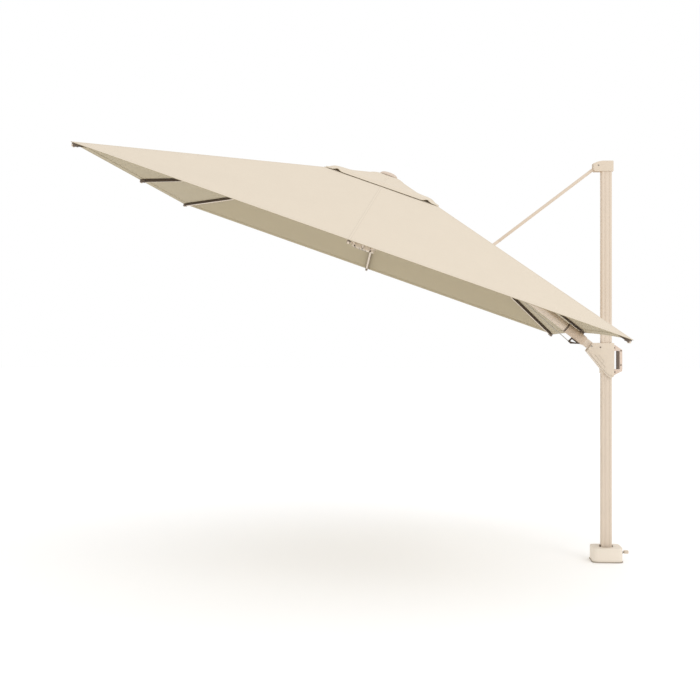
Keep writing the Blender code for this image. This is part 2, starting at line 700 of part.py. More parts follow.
def pull_cord(parent):
    """The canopy's pull cord, held straight between the cleat's tip and the guide."""
    start = Vector((-CLEAT_AT - CLEAT_BASE / 2 - 0.005 - 2 * PULL_CORD_R, 0, -SLEEVE_R - CLEAT_DROP + 0.016))
    end = Vector((-GUIDE_AT + 0.016 + PULL_CORD_R + SIDE_GAP, 0, -ARM_R - PULL_CORD_R - SIDE_GAP))
    line = bpy.data.curves.new("pull_cord", "CURVE")
    line.dimensions = "3D"
    line.bevel_depth = PULL_CORD_R
    line.bevel_resolution = 2
    line.use_fill_caps = True
    steps = int((end - start).length / (5 * PULL_CORD_R))
    spline = line.splines.new("POLY")
    spline.points.add(steps)
    for i in range(steps + 1):
        spline.points[i].co = (*start.lerp(end, i / steps), 1)
    line.materials.append(material(BRAID))
    made = bpy.data.objects.new("pull_cord", line)
    bpy.context.scene.collection.objects.link(made)
    made.parent = parent
    return made


def notched_disc(outer, notch_depth, notch_wide, azimuths):
    """A round outline with a radial notch for each rib."""
    points = []
    inner = outer - notch_depth
    half = math.asin(notch_wide / 2 / outer)
    ordered = sorted(math.radians(a) % (2 * math.pi) for a in azimuths)
    for i, azimuth in enumerate(ordered):
        out = Vector((math.cos(azimuth), math.sin(azimuth)))
        side = Vector((-out.y, out.x)) * (notch_wide / 2)
        edge = math.sqrt(outer * outer - side.length_squared)
        corners = (out * edge - side, out * inner - side, out * inner + side, out * edge + side)
        points += [tuple(corner) for corner in corners]
        following = ordered[(i + 1) % len(ordered)] + (2 * math.pi if i == len(ordered) - 1 else 0)
        points += arc((0, 0), outer, math.degrees(azimuth + half), math.degrees(following - half), 5)[1:-1]
    return points


def crown_hub(parent):
    """The notched disc that the ribs hinge in, on a bracket that plugs into the arm's tube."""
    azimuths = [azimuth for _, azimuth, _ in RIBS] + [MAST_SIDE_AZIMUTH]
    low, high = HINGE_HEIGHT - HUB_THICK / 2, HINGE_HEIGHT + HUB_THICK / 2
    disc = extruded([notched_disc(HUB_R, SLOT_DEEP, SLOT_WIDE, azimuths)], low, high, "Z")
    made = piece("crown_hub", disc, SAND_PAINT, parent)
    up = Vector((math.sin(ARM_IN_CANOPY), math.cos(ARM_IN_CANOPY)))
    inwards = Vector((-math.cos(ARM_IN_CANOPY), math.sin(ARM_IN_CANOPY)))
    end_height = ARM_HEIGHT_IN_CROWN - TUBE_TO_CROWN * math.tan(ARM_IN_CANOPY)
    end = Vector((TUBE_TO_CROWN, end_height)) + inwards * SIDE_GAP
    cheek = [
        (-0.030, low + 0.004), (-0.030, ARM_HEIGHT_IN_CROWN + 0.010), (0.010, ARM_HEIGHT_IN_CROWN - ARM_R),
        tuple(end - up * ARM_R), tuple(end + up * ARM_R), (0.050, low + 0.004),
    ]
    cut(made, extruded([cheek], -BRACKET_HALF, BRACKET_HALF), "UNION")
    plug = rod(ARM_R - ARM_WALL - FIT_GAP, -0.020, CROWN_PLUG, (0, 0, 0), "X")
    plug.transform(Matrix.Translation((end.x, 0, end.y)) @ Matrix.Rotation(ARM_IN_CANOPY, 4, "Y"))
    cut(made, plug, "UNION")
    return made


def crown_cap(parent):
    """The low dome that clamps the vent's centre down to the hub."""
    low = HINGE_HEIGHT + HUB_THICK / 2 + FIT_GAP
    profile = [(0, low), (FINIAL_STEM_R, low), (FINIAL_STEM_R, FINIAL_UNDER), (FINIAL_R, FINIAL_UNDER)]
    profile += [(FINIAL_R, FINIAL_UNDER + 0.006)]
    steps = 6
    for i in range(1, steps):
        angle = math.pi / 2 * i / steps
        height = FINIAL_UNDER + 0.006 + (FINIAL_RISE - 0.006) * math.sin(angle)
        profile.append((FINIAL_R * math.cos(angle), height))
    profile.append((0, FINIAL_UNDER + FINIAL_RISE))
    return piece("crown_cap", turned(profile), SAND_PAINT, parent)


def mast_side_rib(parent):
    """The rib that stays on the arm. It is built in a frame on the crown's hinge circle."""
    length = (HALF - HINGE_RADIUS - RIB_TIP_INSET) / math.cos(FIXED_RIB_SLOPE)
    high, half = FIXED_RIB_HIGH / 2, RIB_WIDE / 2
    outline = arc((0, 0), high, 90, 270, 8) + [(length, -high), (length, high)]
    made = piece("mast_side_rib", extruded([outline], -half, half), SAND_PAINT, parent)
    inner_high, inner_half = high - RIB_WALL, half - RIB_WALL
    cut(made, block((0.030, -inner_half, -inner_high), (length + 0.010, inner_half, inner_high)))
    return made


# ---- canopy frame --------------------------------------------------------------------------------
def pin_in_plane(kind, along, slope):
    """A rib's stretcher pin as (radius, height) in the canopy frame, with the rib at a slope below level."""
    out, down = along, PIN_DROP
    return Vector((
        HINGE_RADIUS + out * math.cos(slope) - down * math.sin(slope),
        HINGE_HEIGHT - out * math.sin(slope) - down * math.cos(slope),
    ))


def mid_stretcher_length():
    return (pin_in_plane("mid", MID_PIN_AT, RIB_SLOPE["mid"]) - Vector((RUNNER_RADIUS, RUNNER_HEIGHT))).length


def folded_runner_height():
    """Where the runner hangs once the ribs are down, set by the middle ribs' stretchers."""
    pin = pin_in_plane("mid", MID_PIN_AT, FOLDED_ANGLE)
    across = pin.x - RUNNER_RADIUS
    return pin.y - math.sqrt(mid_stretcher_length() ** 2 - across ** 2)


def corner_pin_at():
    """Where a corner rib takes its stretcher so that one length suits both the open and the folded canopy.
    The two squared lengths are quadratics in the pin's place with the same leading term, so it is linear."""
    def squared(along, slope, height):
        return (pin_in_plane("corner", along, slope) - Vector((RUNNER_RADIUS, height))).length_squared

    def difference(along):
        folded = squared(along, FOLDED_ANGLE, folded_runner_height())
        return squared(along, RIB_SLOPE["corner"], RUNNER_HEIGHT) - folded

    at_zero, at_one = difference(0.0), difference(1.0)
    return at_zero / (at_zero - at_one)


def stretcher_pin_at(kind):
    return MID_PIN_AT if kind == "mid" else corner_pin_at()


def stretcher_rest(kind):
    """A stretcher's length and its angle below the line to the rib's hinge, seen in the rib's frame."""
    slope = RIB_SLOPE[kind]
    pin = pin_in_plane(kind, stretcher_pin_at(kind), slope)
    line = pin - Vector((RUNNER_RADIUS, RUNNER_HEIGHT))
    return line.length, slope + math.atan2(line.y, line.x)


def rib(parent, name, kind):
    """A rectangular rib with a round eye in the crown and a lug for its stretcher under it."""
    reach = HALF * (math.sqrt(2) if kind == "corner" else 1.0) - HINGE_RADIUS
    length = (reach - RIB_TIP_INSET) / math.cos(RIB_SLOPE[kind])
    pin_at = stretcher_pin_at(kind)
    high, half = RIB_HIGH / 2, RIB_WIDE / 2
    outline = arc((0, 0), RIB_EYE_R, 115, 245, 8)
    outline += [(0.014, -RIB_EYE_R), (0.020, -high), (pin_at - LUG_HALF, -high)]
    outline += arc((pin_at, -PIN_DROP), LUG_DEEP - PIN_DROP, 200, 340, 6)
    outline += [(pin_at + LUG_HALF, -high), (length, -high), (length, high)]
    outline += [(0.020, high), (0.014, RIB_EYE_R)]
    made = piece("rib_" + name, extruded([outline], -half, half), SAND_PAINT, parent)
    hollow_half, hollow_high = half - RIB_WALL, high - RIB_WALL
    cut(made, block((0.035, -hollow_half, -hollow_high), (length + 0.010, hollow_half, hollow_high)))
    slot = half - LUG_WALL
    cut(made, block((pin_at - 0.040, -slot, -0.060), (pin_at + 0.040, slot, -high - FIT_GAP)))
    return made


def stretcher(parent, name, kind):
    """A flat bar with a round end in the rib's lug and another in the runner's notch."""
    length, _ = stretcher_rest(kind)
    high = STRETCHER_HIGH / 2
    half = min(STRETCHER_WIDE, RIB_WIDE - 2 * LUG_WALL - 2 * FIT_GAP) / 2
    outline = arc((0, 0), high, -90, 90, 8) + arc((-length, 0), high, 90, 270, 8)
    return piece("stretcher_" + name, extruded([outline], -half, half), SAND_PAINT, parent)


def runner(parent):
    """The lower hub. The stretchers' inner ends lie in its notches."""
    notch = STRETCHER_WIDE + 2 * SIDE_GAP
    azimuths = [azimuth for _, azimuth, _ in RIBS]
    low, high = RUNNER_HEIGHT - RUNNER_THICK / 2, RUNNER_HEIGHT + RUNNER_THICK / 2
    outline = notched_disc(RUNNER_R, RUNNER_R - RUNNER_RADIUS + STRETCHER_HIGH / 2 + 0.003, notch, azimuths)
    return piece(
        "runner", extruded([outline, circle((0, 0), RUNNER_BORE)], low, high, "Z"), SAND_PAINT, parent
    )


def hoist_ferrule(parent):
    half = FERRULE_LONG / 2
    return piece("hoist_ferrule", turned([
        (0, -half), (FERRULE_R * 0.7, -half), (FERRULE_R, -half + 0.004), (FERRULE_R, half - 0.006),
        (0.005, half), (0, half),
    ], (0, 0, RUNNER_HEIGHT), "Z", 24), STEEL, parent)


def hoist_cord(parent):
    """The cord that the runner hangs on, from the crown's bracket down to its ferrule."""
    low = RUNNER_HEIGHT + FERRULE_LONG / 2 + FIT_GAP
    high = ARM_HEIGHT_IN_CROWN - ARM_R - 0.004
    return piece("hoist_cord", rod(HOIST_CORD_R, low, high, (0, 0, 0), "Z", 10), BRAID, parent)


# ---- fabric --------------------------------------------------------------------------------------
def fabric_height(x, y):
    """The canopy's upper surface: a square pyramid whose mast side bows up over the arm at the rim."""
    reach = max(abs(x), abs(y))
    height = CANOPY_RISE * (1 - reach / HALF)
    if x >= abs(y) and reach > 0:
        height += RIM_BOW * (reach / HALF) * (1 - (y / reach) ** 2)
    return height


def sheet(grid, thickness):
    """A closed sheet from a grid of upper points, with its underside a thickness below."""
    work = bmesh.new()
    layers = [
        [[work.verts.new((x, y, z - drop)) for x, y, z in row] for row in grid] for drop in (0.0, thickness)
    ]
    rows, columns = len(grid), len(grid[0])
    for top, bottom in ((layers[0], False), (layers[1], True)):
        for i in range(rows - 1):
            for j in range(columns - 1):
                quad = [top[i][j], top[i][j + 1], top[i + 1][j + 1], top[i + 1][j]]
                work.faces.new(quad[::-1] if bottom else quad)
    rim = [(0, j) for j in range(columns)] + [(i, columns - 1) for i in range(1, rows)]
    rim += [(rows - 1, j) for j in range(columns - 2, -1, -1)] + [(i, 0) for i in range(rows - 2, 0, -1)]
    for k, (i, j) in enumerate(rim):
        m, n = rim[(k + 1) % len(rim)]
        work.faces.new((layers[0][i][j], layers[1][i][j], layers[1][m][n], layers[0][m][n]))
    return done(work)


def gore(parent, name, azimuth, kind):
    """The part of the canopy that belongs to one rib, from its top opening to its rim, an eighth of the way
    round. A corner gore is folded along its hip."""
    bend = math.tan(math.radians(22.5))
    steps = 4
    if kind == "mid":
        spread = [(1.0, bend * (2 * j / steps - 1)) for j in range(steps + 1)]
        turn = math.radians(azimuth)
    else:
        first = [(1.0, bend + (1 - bend) * j / (steps // 2)) for j in range(steps // 2 + 1)]
        spread = first + [(b, a) for a, b in first[-2::-1]]
        turn = math.radians(azimuth - 45)
    rings = 5
    grid = []
    for i in range(rings + 1):
        reach = TOP_OPENING + (HALF - TOP_OPENING) * i / rings
        row = []
        for j, (a, b) in enumerate(spread):
            x, y = a * reach, b * reach
            along = Vector((-b, a)).normalized()
            inwards = GORE_GAP * (1 if j == 0 else -1 if j == len(spread) - 1 else 0)
            x, y = x + along.x * inwards, y + along.y * inwards
            place = (x * math.cos(turn) - y * math.sin(turn), x * math.sin(turn) + y * math.cos(turn))
            row.append((*place, fabric_height(*place)))
        grid.append(row)
    return piece("canopy_gore_" + name, sheet(grid, FABRIC_THICK), CANVAS, parent)


def strut_slit(target):
    """The slit in the mast-side gore that the strut's fork comes up through."""
    middle = PIVOT_IN_CANOPY.x - STRUT_REACH * math.cos(ARM_IN_CANOPY)
    cut(target, block((middle - SLIT_OUTER, -SLIT_HALF, -0.200), (middle + SLIT_INNER, SLIT_HALF, 0.800)))


def vent_canopy(parent):
    """The small square canopy over the top opening, flat under the dome and open at its centre."""
    work = bmesh.new()
    reaches = [VENT_HOLE, (CANOPY_RISE + 0.005 - VENT_FLAT_HEIGHT) / VENT_SLOPE, 0.20, VENT_HALF]
    steps = 4
    layers = []
    for drop in (0.0, FABRIC_THICK):
        rings = []
        for reach in reaches:
            height = min(VENT_FLAT_HEIGHT, VENT_RIM_HEIGHT + VENT_SLOPE * (VENT_HALF - reach))
            ring = []
            for turn in range(4):
                for j in range(steps):
                    x, y = reach, reach * (2 * j / steps - 1)
                    for _ in range(turn):
                        x, y = -y, x
                    ring.append(work.verts.new((x, y, height - drop)))
            rings.append(ring)
        layers.append(rings)
    top, bottom = layers
    loops = top + bottom[::-1]
    count = len(top[0])
    for i in range(len(loops)):
        ring, after = loops[i], loops[(i + 1) % len(loops)]
        for k in range(count):
            m = (k + 1) % count
            work.faces.new((ring[k], ring[m], after[m], after[k]))
    return piece("vent_canopy", done(work), CANVAS, parent)


# ---- handle --------------------------------------------------------------------------------------
def handle_outline():
    """The handle's side: a head round the knuckle, a slanting front edge and a straight back. Its points are
    measured from the arm's pivot."""
    front = [HEAD_FACE_TOP, HEAD_FACE_LOW, (CHIN[0], CHIN[1] + 0.002), (0.092, -0.183), BODY_LOW]
    return rounded_outline([
        (BODY_RIGHT, HEAD_TOP), *front, (BODY_RIGHT - 0.006, BODY_LOW[1] + 0.004),
        (BODY_RIGHT, BODY_LOW[1] + 0.016),
    ], 0.004, 2)


def mast_channel(wall_x, wall_y):
    """The mast's outline in the handle's frame, grown by a wall."""
    return rounded_rectangle(
        MAST_X / 2 + wall_x, MAST_Y / 2 + wall_y, MAST_CORNER, 4, (-ARM_PIVOT_X, 0)
    )


def handle_shell(parent, name, side):
    """One half of the handle's casing, with room for the mast, its liner and the knuckle."""
    ends = sorted((side * FIT_GAP, side * HANDLE_HALF))
    made = piece(name, extruded([handle_outline()], *ends), PALE_PLASTIC, parent)
    channel = mast_channel(MAST_SLIDE_GAP + LINER_WALL + FIT_GAP, RUN_GAP + LINER_WALL + FIT_GAP)
    cut(made, extruded([channel], -0.300, 0.100, "Z"))
    slot = KNUCKLE_HALF + SIDE_GAP
    throat = [
        (-0.060, -0.040), (-0.004, -KNUCKLE_NECK_R - 0.003), (0.012, -0.020), (KNUCKLE_EYE_R + 0.004, -0.004),
        (KNUCKLE_EYE_R + 0.004, 0.060), (-0.060, 0.060)
    ]
    cut(made, extruded([throat], -slot, slot))
    cut(made, rod(KNUCKLE_PIN_R + FIT_GAP, -HANDLE_HALF * 2, HANDLE_HALF * 2, (0, 0, 0), "Y", 24))
    return made


def slide_liner(parent):
    """The low-friction sleeve between the casing and the mast."""
    outer = mast_channel(MAST_SLIDE_GAP + LINER_WALL, RUN_GAP + LINER_WALL)
    inner = mast_channel(MAST_SLIDE_GAP, RUN_GAP)
    return piece(
        "slide_liner", extruded([outer, inner], CHIN[1] - 0.022, HEAD_TOP - 0.001, "Z"), DARK_PLASTIC, parent
    )


def knuckle_pin(parent):
    half = HANDLE_HALF - 0.001
    return piece("knuckle_pin", rod(KNUCKLE_PIN_R, -half, half, (0, 0, 0), "Y", 24), STEEL, parent)


def grip_frame(parent):
    """The D-shaped grip behind the mast, one solid round the finger opening."""
    root = BODY_RIGHT + FIT_GAP
    outline = rounded_outline([
        (root, GRIP_TOP), (root + 0.012, GRIP_TOP), (GRIP_OUT, GRIP_SHOULDER), (GRIP_OUT, GRIP_CHIN),
        (root, GRIP_LOW),
    ], 0.003, 2)
    bar = GRIP_OUT - GRIP_THICK
    opening = rounded_outline([
        (root + GRIP_PLATE, GRIP_OPEN_TOP), (root + GRIP_PLATE, GRIP_OPEN_LOW), (bar, GRIP_OPEN_LOW),
        (bar, GRIP_OPEN_TOP)
    ], 0.003, 2)
    made = piece("grip_frame", extruded([outline, opening], -GRIP_HALF, GRIP_HALF), SAND_PAINT, parent)
    soften = made.modifiers.new("edge", "BEVEL")
    soften.width = 0.003
    soften.segments = 2
    soften.limit_method = "ANGLE"
    soften.angle_limit = math.radians(60)
    tab = TRIGGER_HALF - 0.003 + RUN_GAP
    low, high = GRIP_OPEN_LOW - TRIGGER_TAB - RUN_GAP, GRIP_OPEN_TOP + TRIGGER_TAB + RUN_GAP
    near, far = bar - TRIGGER_THICK - TRIGGER_TRAVEL - 0.003, bar - 0.0015
    cut(made, block((near, -tab, low), (far, tab, high)))
    return made


def trigger(parent):
    """The finger bar. A tab at each end slides in the grip's frame."""
    bar = GRIP_OUT - GRIP_THICK
    right = bar - TRIGGER_TRAVEL - 0.002
    left = right - TRIGGER_THICK
    low, high = GRIP_OPEN_LOW + SIDE_GAP, GRIP_OPEN_TOP - SIDE_GAP
    outline = [
        (left, low), (left + 0.0015, low), (left + 0.0015, low - TRIGGER_TAB),
        (right - 0.0015, low - TRIGGER_TAB), (right - 0.0015, low), (right, low), (right, high),
        (right - 0.0015, high), (right - 0.0015, high + TRIGGER_TAB),
        (left + 0.0015, high + TRIGGER_TAB), (left + 0.0015, high), (left, high),
    ]
    made = piece("trigger", extruded([outline], -TRIGGER_HALF, TRIGGER_HALF), PALE_PLASTIC, parent)
    tab = TRIGGER_HALF - 0.003
    for side in (-1, 1):
        ends = sorted((side * tab, side * TRIGGER_HALF * 2))
        for a, b in ((low - 0.020, low), (high, high + 0.020)):
            cut(made, block((left - 0.010, ends[0], a), (right + 0.010, ends[1], b)))
    return made


# ---- assembly ------------------------------------------------------------------------------------
def build_socket():
    base_plate(None)
    base_socket(None)
    swivel_bush(None)
    pedal_pin(None)
    pedal_joint = frame_empty("pedal_joint", None, (SOCKET_X / 2 - PEDAL_EYE_R - 0.001, 0, PEDAL_HEIGHT))
    pedal_lever(pedal_joint)
    pedal_pad(pedal_joint)


def build_mast(swivel):
    mast_tube(swivel)
    mast_spigot(swivel)
    top_cap(swivel)
    strut_pin(swivel)
    strut_joint = frame_empty("strut_joint", swivel, STRUT_PIN, -STRUT_ANGLE)
    strut_head(strut_joint)
    strut_rod(strut_joint)
    strut_fork(strut_joint)


def build_arm(arm_joint, canopy_frame):
    arm_knuckle(arm_joint)
    strut_collar(arm_joint)
    fork_pin(arm_joint, "fork_pin_near", -1)
    fork_pin(arm_joint, "fork_pin_far", 1)
    arm_tube(arm_joint)
    arm_sleeve(arm_joint)
    arm_ring(arm_joint)
    cord_cleat(arm_joint)
    cord_guide(arm_joint)
    pull_cord(arm_joint)
    crown_hub(canopy_frame)
    crown_cap(canopy_frame)
    vent_canopy(canopy_frame)
    seat = frame_empty("mast_side_rib_seat", canopy_frame, (HINGE_RADIUS, 0, HINGE_HEIGHT), FIXED_RIB_SLOPE)
    mast_side_rib(seat)
    strut_slit(gore(canopy_frame, "mast_side", MAST_SIDE_AZIMUTH, "mid"))


def build_canopy(canopy_frame):
    for name, azimuth, kind in RIBS:
        angle = math.radians(azimuth)
        place = (HINGE_RADIUS * math.cos(angle), HINGE_RADIUS * math.sin(angle), HINGE_HEIGHT)
        hinge = frame_empty("hinge_" + name, canopy_frame, place, RIB_SLOPE[kind], angle)
        rib(hinge, name, kind)
        _, turn = stretcher_rest(kind)
        stretcher_joint = frame_empty(
            "stretcher_joint_" + name, hinge, (stretcher_pin_at(kind), 0, -PIN_DROP), -turn
        )
        stretcher(stretcher_joint, name, kind)
        gore(canopy_frame, name, azimuth, kind)
    runner(canopy_frame)
    hoist_ferrule(canopy_frame)
    hoist_cord(canopy_frame)


def build_handle(handle_joint):
    handle_shell(handle_joint, "handle_front", -1)
    handle_shell(handle_joint, "handle_back", 1)
    slide_liner(handle_joint)
    knuckle_pin(handle_joint)
    grip_frame(handle_joint)
    trigger(handle_joint)


def main():
    for old in list(bpy.data.objects):
        bpy.data.objects.remove(old, do_unlink=True)
    swivel = frame_empty("mast_swivel")
    arm_joint = frame_empty("arm_joint", swivel, ARM_PIVOT, ARM_ANGLE)
    canopy_frame = frame_empty("canopy_frame", swivel, CANOPY_CENTRE, CANOPY_TILT)
    handle_joint = frame_empty("handle_joint", swivel, ARM_PIVOT)
    build_socket()
    build_mast(swivel)
    build_arm(arm_joint, canopy_frame)
    build_canopy(canopy_frame)
    build_handle(handle_joint)
    bpy.context.view_layer.update()


if __name__ == "__main__":
    main()
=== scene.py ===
"""A cantilever parasol: square canvas canopy with a vent, hung from a tilting arm on a swivelling mast."""
import json
import math

import bmesh
import bpy
from mathutils import Matrix, Vector, noise
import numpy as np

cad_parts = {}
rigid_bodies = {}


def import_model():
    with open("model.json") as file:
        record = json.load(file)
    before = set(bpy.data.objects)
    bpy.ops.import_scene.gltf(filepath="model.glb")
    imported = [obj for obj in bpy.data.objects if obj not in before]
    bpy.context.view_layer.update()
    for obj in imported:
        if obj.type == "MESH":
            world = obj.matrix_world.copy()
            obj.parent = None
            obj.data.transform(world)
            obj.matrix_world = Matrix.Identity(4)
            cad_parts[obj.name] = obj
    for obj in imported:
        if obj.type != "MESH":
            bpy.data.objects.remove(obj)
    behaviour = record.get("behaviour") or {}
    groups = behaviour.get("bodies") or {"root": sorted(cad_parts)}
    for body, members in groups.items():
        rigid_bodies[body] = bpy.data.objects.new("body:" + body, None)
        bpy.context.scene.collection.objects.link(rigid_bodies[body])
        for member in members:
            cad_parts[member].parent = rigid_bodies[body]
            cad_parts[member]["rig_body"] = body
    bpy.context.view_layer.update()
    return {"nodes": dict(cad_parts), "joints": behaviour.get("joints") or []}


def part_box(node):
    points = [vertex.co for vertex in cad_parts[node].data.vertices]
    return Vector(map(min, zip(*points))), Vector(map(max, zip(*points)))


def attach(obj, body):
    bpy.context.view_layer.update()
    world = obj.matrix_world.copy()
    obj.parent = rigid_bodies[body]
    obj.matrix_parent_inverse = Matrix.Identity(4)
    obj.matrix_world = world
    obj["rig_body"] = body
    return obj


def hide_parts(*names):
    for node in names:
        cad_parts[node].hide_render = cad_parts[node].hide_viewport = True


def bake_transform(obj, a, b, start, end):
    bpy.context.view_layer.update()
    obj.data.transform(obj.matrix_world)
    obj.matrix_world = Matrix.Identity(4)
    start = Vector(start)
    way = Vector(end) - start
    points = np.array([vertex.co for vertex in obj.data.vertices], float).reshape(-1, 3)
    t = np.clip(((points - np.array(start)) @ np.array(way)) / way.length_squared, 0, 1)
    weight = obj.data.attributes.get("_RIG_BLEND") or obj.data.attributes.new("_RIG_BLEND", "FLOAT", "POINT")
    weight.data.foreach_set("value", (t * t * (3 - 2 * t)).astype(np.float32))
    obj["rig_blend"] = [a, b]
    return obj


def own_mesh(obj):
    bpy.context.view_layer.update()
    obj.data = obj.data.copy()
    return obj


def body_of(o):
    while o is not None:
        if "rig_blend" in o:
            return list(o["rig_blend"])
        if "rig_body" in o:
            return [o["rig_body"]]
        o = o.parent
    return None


bl_info = {
    "name": "Cantilever parasol",
    "version": (1, 0, 0),
    "blender": (4, 5, 0),
    "location": "View3D > Sidebar > Parasol",
    "description": "Builds the cloth, frame finish and fittings of a cantilever parasol",
    "category": "Object",
}

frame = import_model()
JOINTS = {j["name"]: j for j in frame["joints"]}


# ---- where things are, from the frame -----------------------------------------------------------
def joint_place(name):
    return Vector(JOINTS[name]["pos_m"])


def joint_axis(name):
    return Vector(JOINTS[name]["axis"]).normalized()


def axes_at(origin, x, z):
    """A placing matrix from its origin, its X axis and its Z axis."""
    y = z.cross(x).normalized()
    x = y.cross(z).normalized()
    return Matrix.Translation(origin) @ Matrix((x, y, z)).transposed().to_4x4()


HINGE_HEIGHT = 0.520
CANOPY_UP = -joint_axis("runner_slide")
CROWN_CENTRE = (joint_place("rib_hinge_near") + joint_place("rib_hinge_far")) / 2
CANOPY = axes_at(CROWN_CENTRE - HINGE_HEIGHT * CANOPY_UP, Vector((0, 1, 0)).cross(CANOPY_UP), CANOPY_UP)
ARM_OUT = joint_axis("side_tilt")
ARM_PIVOT = joint_place("handle_hinge")
ARM = axes_at(ARM_PIVOT, -ARM_OUT, Vector((0, 1, 0)).cross(ARM_OUT))
STRUT_FOOT = joint_place("strut_foot_hinge")
HANDLE = Matrix.Translation(ARM_PIVOT)

HALF = 1.5
CANOPY_RISE = 0.560
TOP_OPENING = 0.300
RIM_BOW = 0.025
VENT_HALF = 0.3625
VENT_FLAT = 0.5385
VENT_HOLE = 0.016
HEM_CLEAR = 0.0002
HEM_THICK, HEM_PROUD = 0.0016, 0.001
VENT_HEM, VENT_HEM_THICK, VENT_HEM_PROUD = 0.012, 0.0012, 0.0006
VENT_SEAM, VENT_SEAM_FROM = 0.012, 0.055
ARCH_AT, ARCH_WIDE = 0.076, 0.018
KNOB_UNDER = 0.5405
KNOB_DRAW = 0.11
# how far the vent stands off the canopy plane, by share of the way in from its edge
VENT_SHAPE = [(0.14, 0.0155), (0.45, -0.0018), (1.0, -0.0018)]

SIDES = (-1, 1)

# the eight ribs: name, azimuth in the canopy's plane, the body the cloth rides on
RIBS = [
    ("mast_side", 0, "arm"), ("mast_far", 45, "rib_mast_far"), ("far", 90, "rib_far"),
    ("outer_far", 135, "rib_outer_far"), ("outer", 180, "rib_outer"), ("outer_near", 225, "rib_outer_near"),
    ("near", 270, "rib_near"), ("mast_near", 315, "rib_mast_near"),
]


# ---- sizes and colours a user would change ------------------------------------------------------
def linear(colour):
    """sRGB hex to linear RGB."""
    parts = [int(colour[i:i + 2], 16) / 255 for i in (1, 3, 5)]
    return [c / 12.92 if c <= 0.04045 else ((c + 0.055) / 1.055) ** 2.4 for c in parts]


def length(name, description, default):
    return bpy.props.FloatProperty(
        name=name, description=description, default=default, min=0, precision=4, subtype="DISTANCE",
        unit="LENGTH",
    )


def colour(name, description, default):
    return bpy.props.FloatVectorProperty(
        name=name, description=description, default=linear(default), min=0, max=1, size=3, subtype="COLOR"
    )


class ParasolSizes(bpy.types.PropertyGroup):
    """Sizes of the soft goods and fittings"""
    cloth_thick: length("Cloth thickness", "Thickness of the canopy canvas", 0.0008)
    sag: length("Panel sag", "How far a panel hangs between two ribs, half-way out", 0.004)
    hem: length("Hem width", "Width of the folded rim hem", 0.028)
    seam: length("Seam width", "Width of the felled seams over the ribs", 0.018)
    vent_arch: length("Vent arch", "Height of the arched openings near the vent's corners", 0.013)
    vent_gap: length("Vent gap", "Gap under the vent's edge along its middle", 0.006)
    edge: length("Edge rounding", "Rounding of the frame's machined edges", 0.0008)


class ParasolColours(bpy.types.PropertyGroup):
    """Colours of the finishes"""
    canvas: colour("Canvas", "Top side of the canopy canvas", "#DFD2BF")
    # the canvas back is darker and yellower than the canvas: painted shade for the cloth's underside and hems
    # under the canopy
    canvas_back_painted_shade: colour("Canvas back", "Underside of the canvas, in painted shade", "#B0A387")
    coat: colour("Powder coat", "Powder coat on the aluminium", "#DBCBB9")
    # the cast socket's coat is lighter than the mast's coat: painted light, for the fuller light the socket
    # gets near the floor
    casting: colour("Cast iron coat", "Coat on the cast socket", "#EADFD0")
    moulding: colour("Moulding", "Pale moulded nylon", "#DACBB8")
    # dark acetal; the same colour also paints shade on the blocks at the mast's foot, the trigger, the blocks
    # beside it and the lines on the casing
    dark: colour("Dark plastic", "Dark acetal bushes and caps", "#6A5B4E")
    sleeve: colour("Sleeve", "Darker coat on the arm's root sleeve", "#CDB9A4")
    # a dark coat: painted shade on the ribs' flanks and on the walls of the hubs' notches; the cord cleat is
    # coated in it too
    shade: colour("Dark coat and painted shade", "Bronze coat on the ribs' flanks and the slots", "#4E4033")
    plate: colour("Base plate", "Grey coat on the steel plate", "#ADA395")
    knob: colour("Knob", "The knob on the crown", "#D6C5B5")
    grip: colour("Grip", "Coat on the grip frame", "#DCC8B8")
    steel: colour("Steel", "Zinc-plated screws and pins", "#A49C92")
    cord: colour("Cord", "Braided polyester cord", "#B9B4AA")


def sizes():
    return bpy.context.scene.parasol_sizes


def colours():
    return bpy.context.scene.parasol_colours


# ---- materials ----------------------------------------------------------------------------------
def add(tree, kind, settings=None, links=None):
    """Adds a node; settings are its inputs or properties, links its inputs from other nodes' outputs."""
    node = tree.nodes.new(kind)
    for name, value in (settings or {}).items():
        if hasattr(node, str(name)):
            setattr(node, name, value)
        else:
            node.inputs[name].default_value = value
    for name, output in (links or {}).items():
        tree.links.new(output, node.inputs[name])
    return node


def new_material(name, tint, settings):
    """A named material and its shader, made once."""
    made = bpy.data.materials.new(name)
    made.use_nodes = True
    made.diffuse_color = (*tint, 1)
    shader = made.node_tree.nodes["Principled BSDF"]
    shader.inputs["Base Color"].default_value = (*tint, 1)
    for key, value in settings.items():
        shader.inputs[key].default_value = value
    return made, made.node_tree, shader


def per_metre(millimetres):
    """The noise scale whose grain has that size."""
    return 1000.0 / millimetres


def wave_scale(millimetres):
    """The band texture's scale whose bands repeat at that spacing."""
    return math.pi / 10 * 1000.0 / millimetres


def tinted(tree, base, texture, low, high):
    """The base colour made darker or lighter by a texture."""
    ramp = add(tree, "ShaderNodeMapRange", {"To Min": low, "To Max": high}, {"Value": texture})
    return add(tree, "ShaderNodeMix", {"data_type": "RGBA", "blend_type": "MULTIPLY", 0: 1.0, 6: (*base, 1)},
               {7: ramp.outputs[0]}).outputs[2]


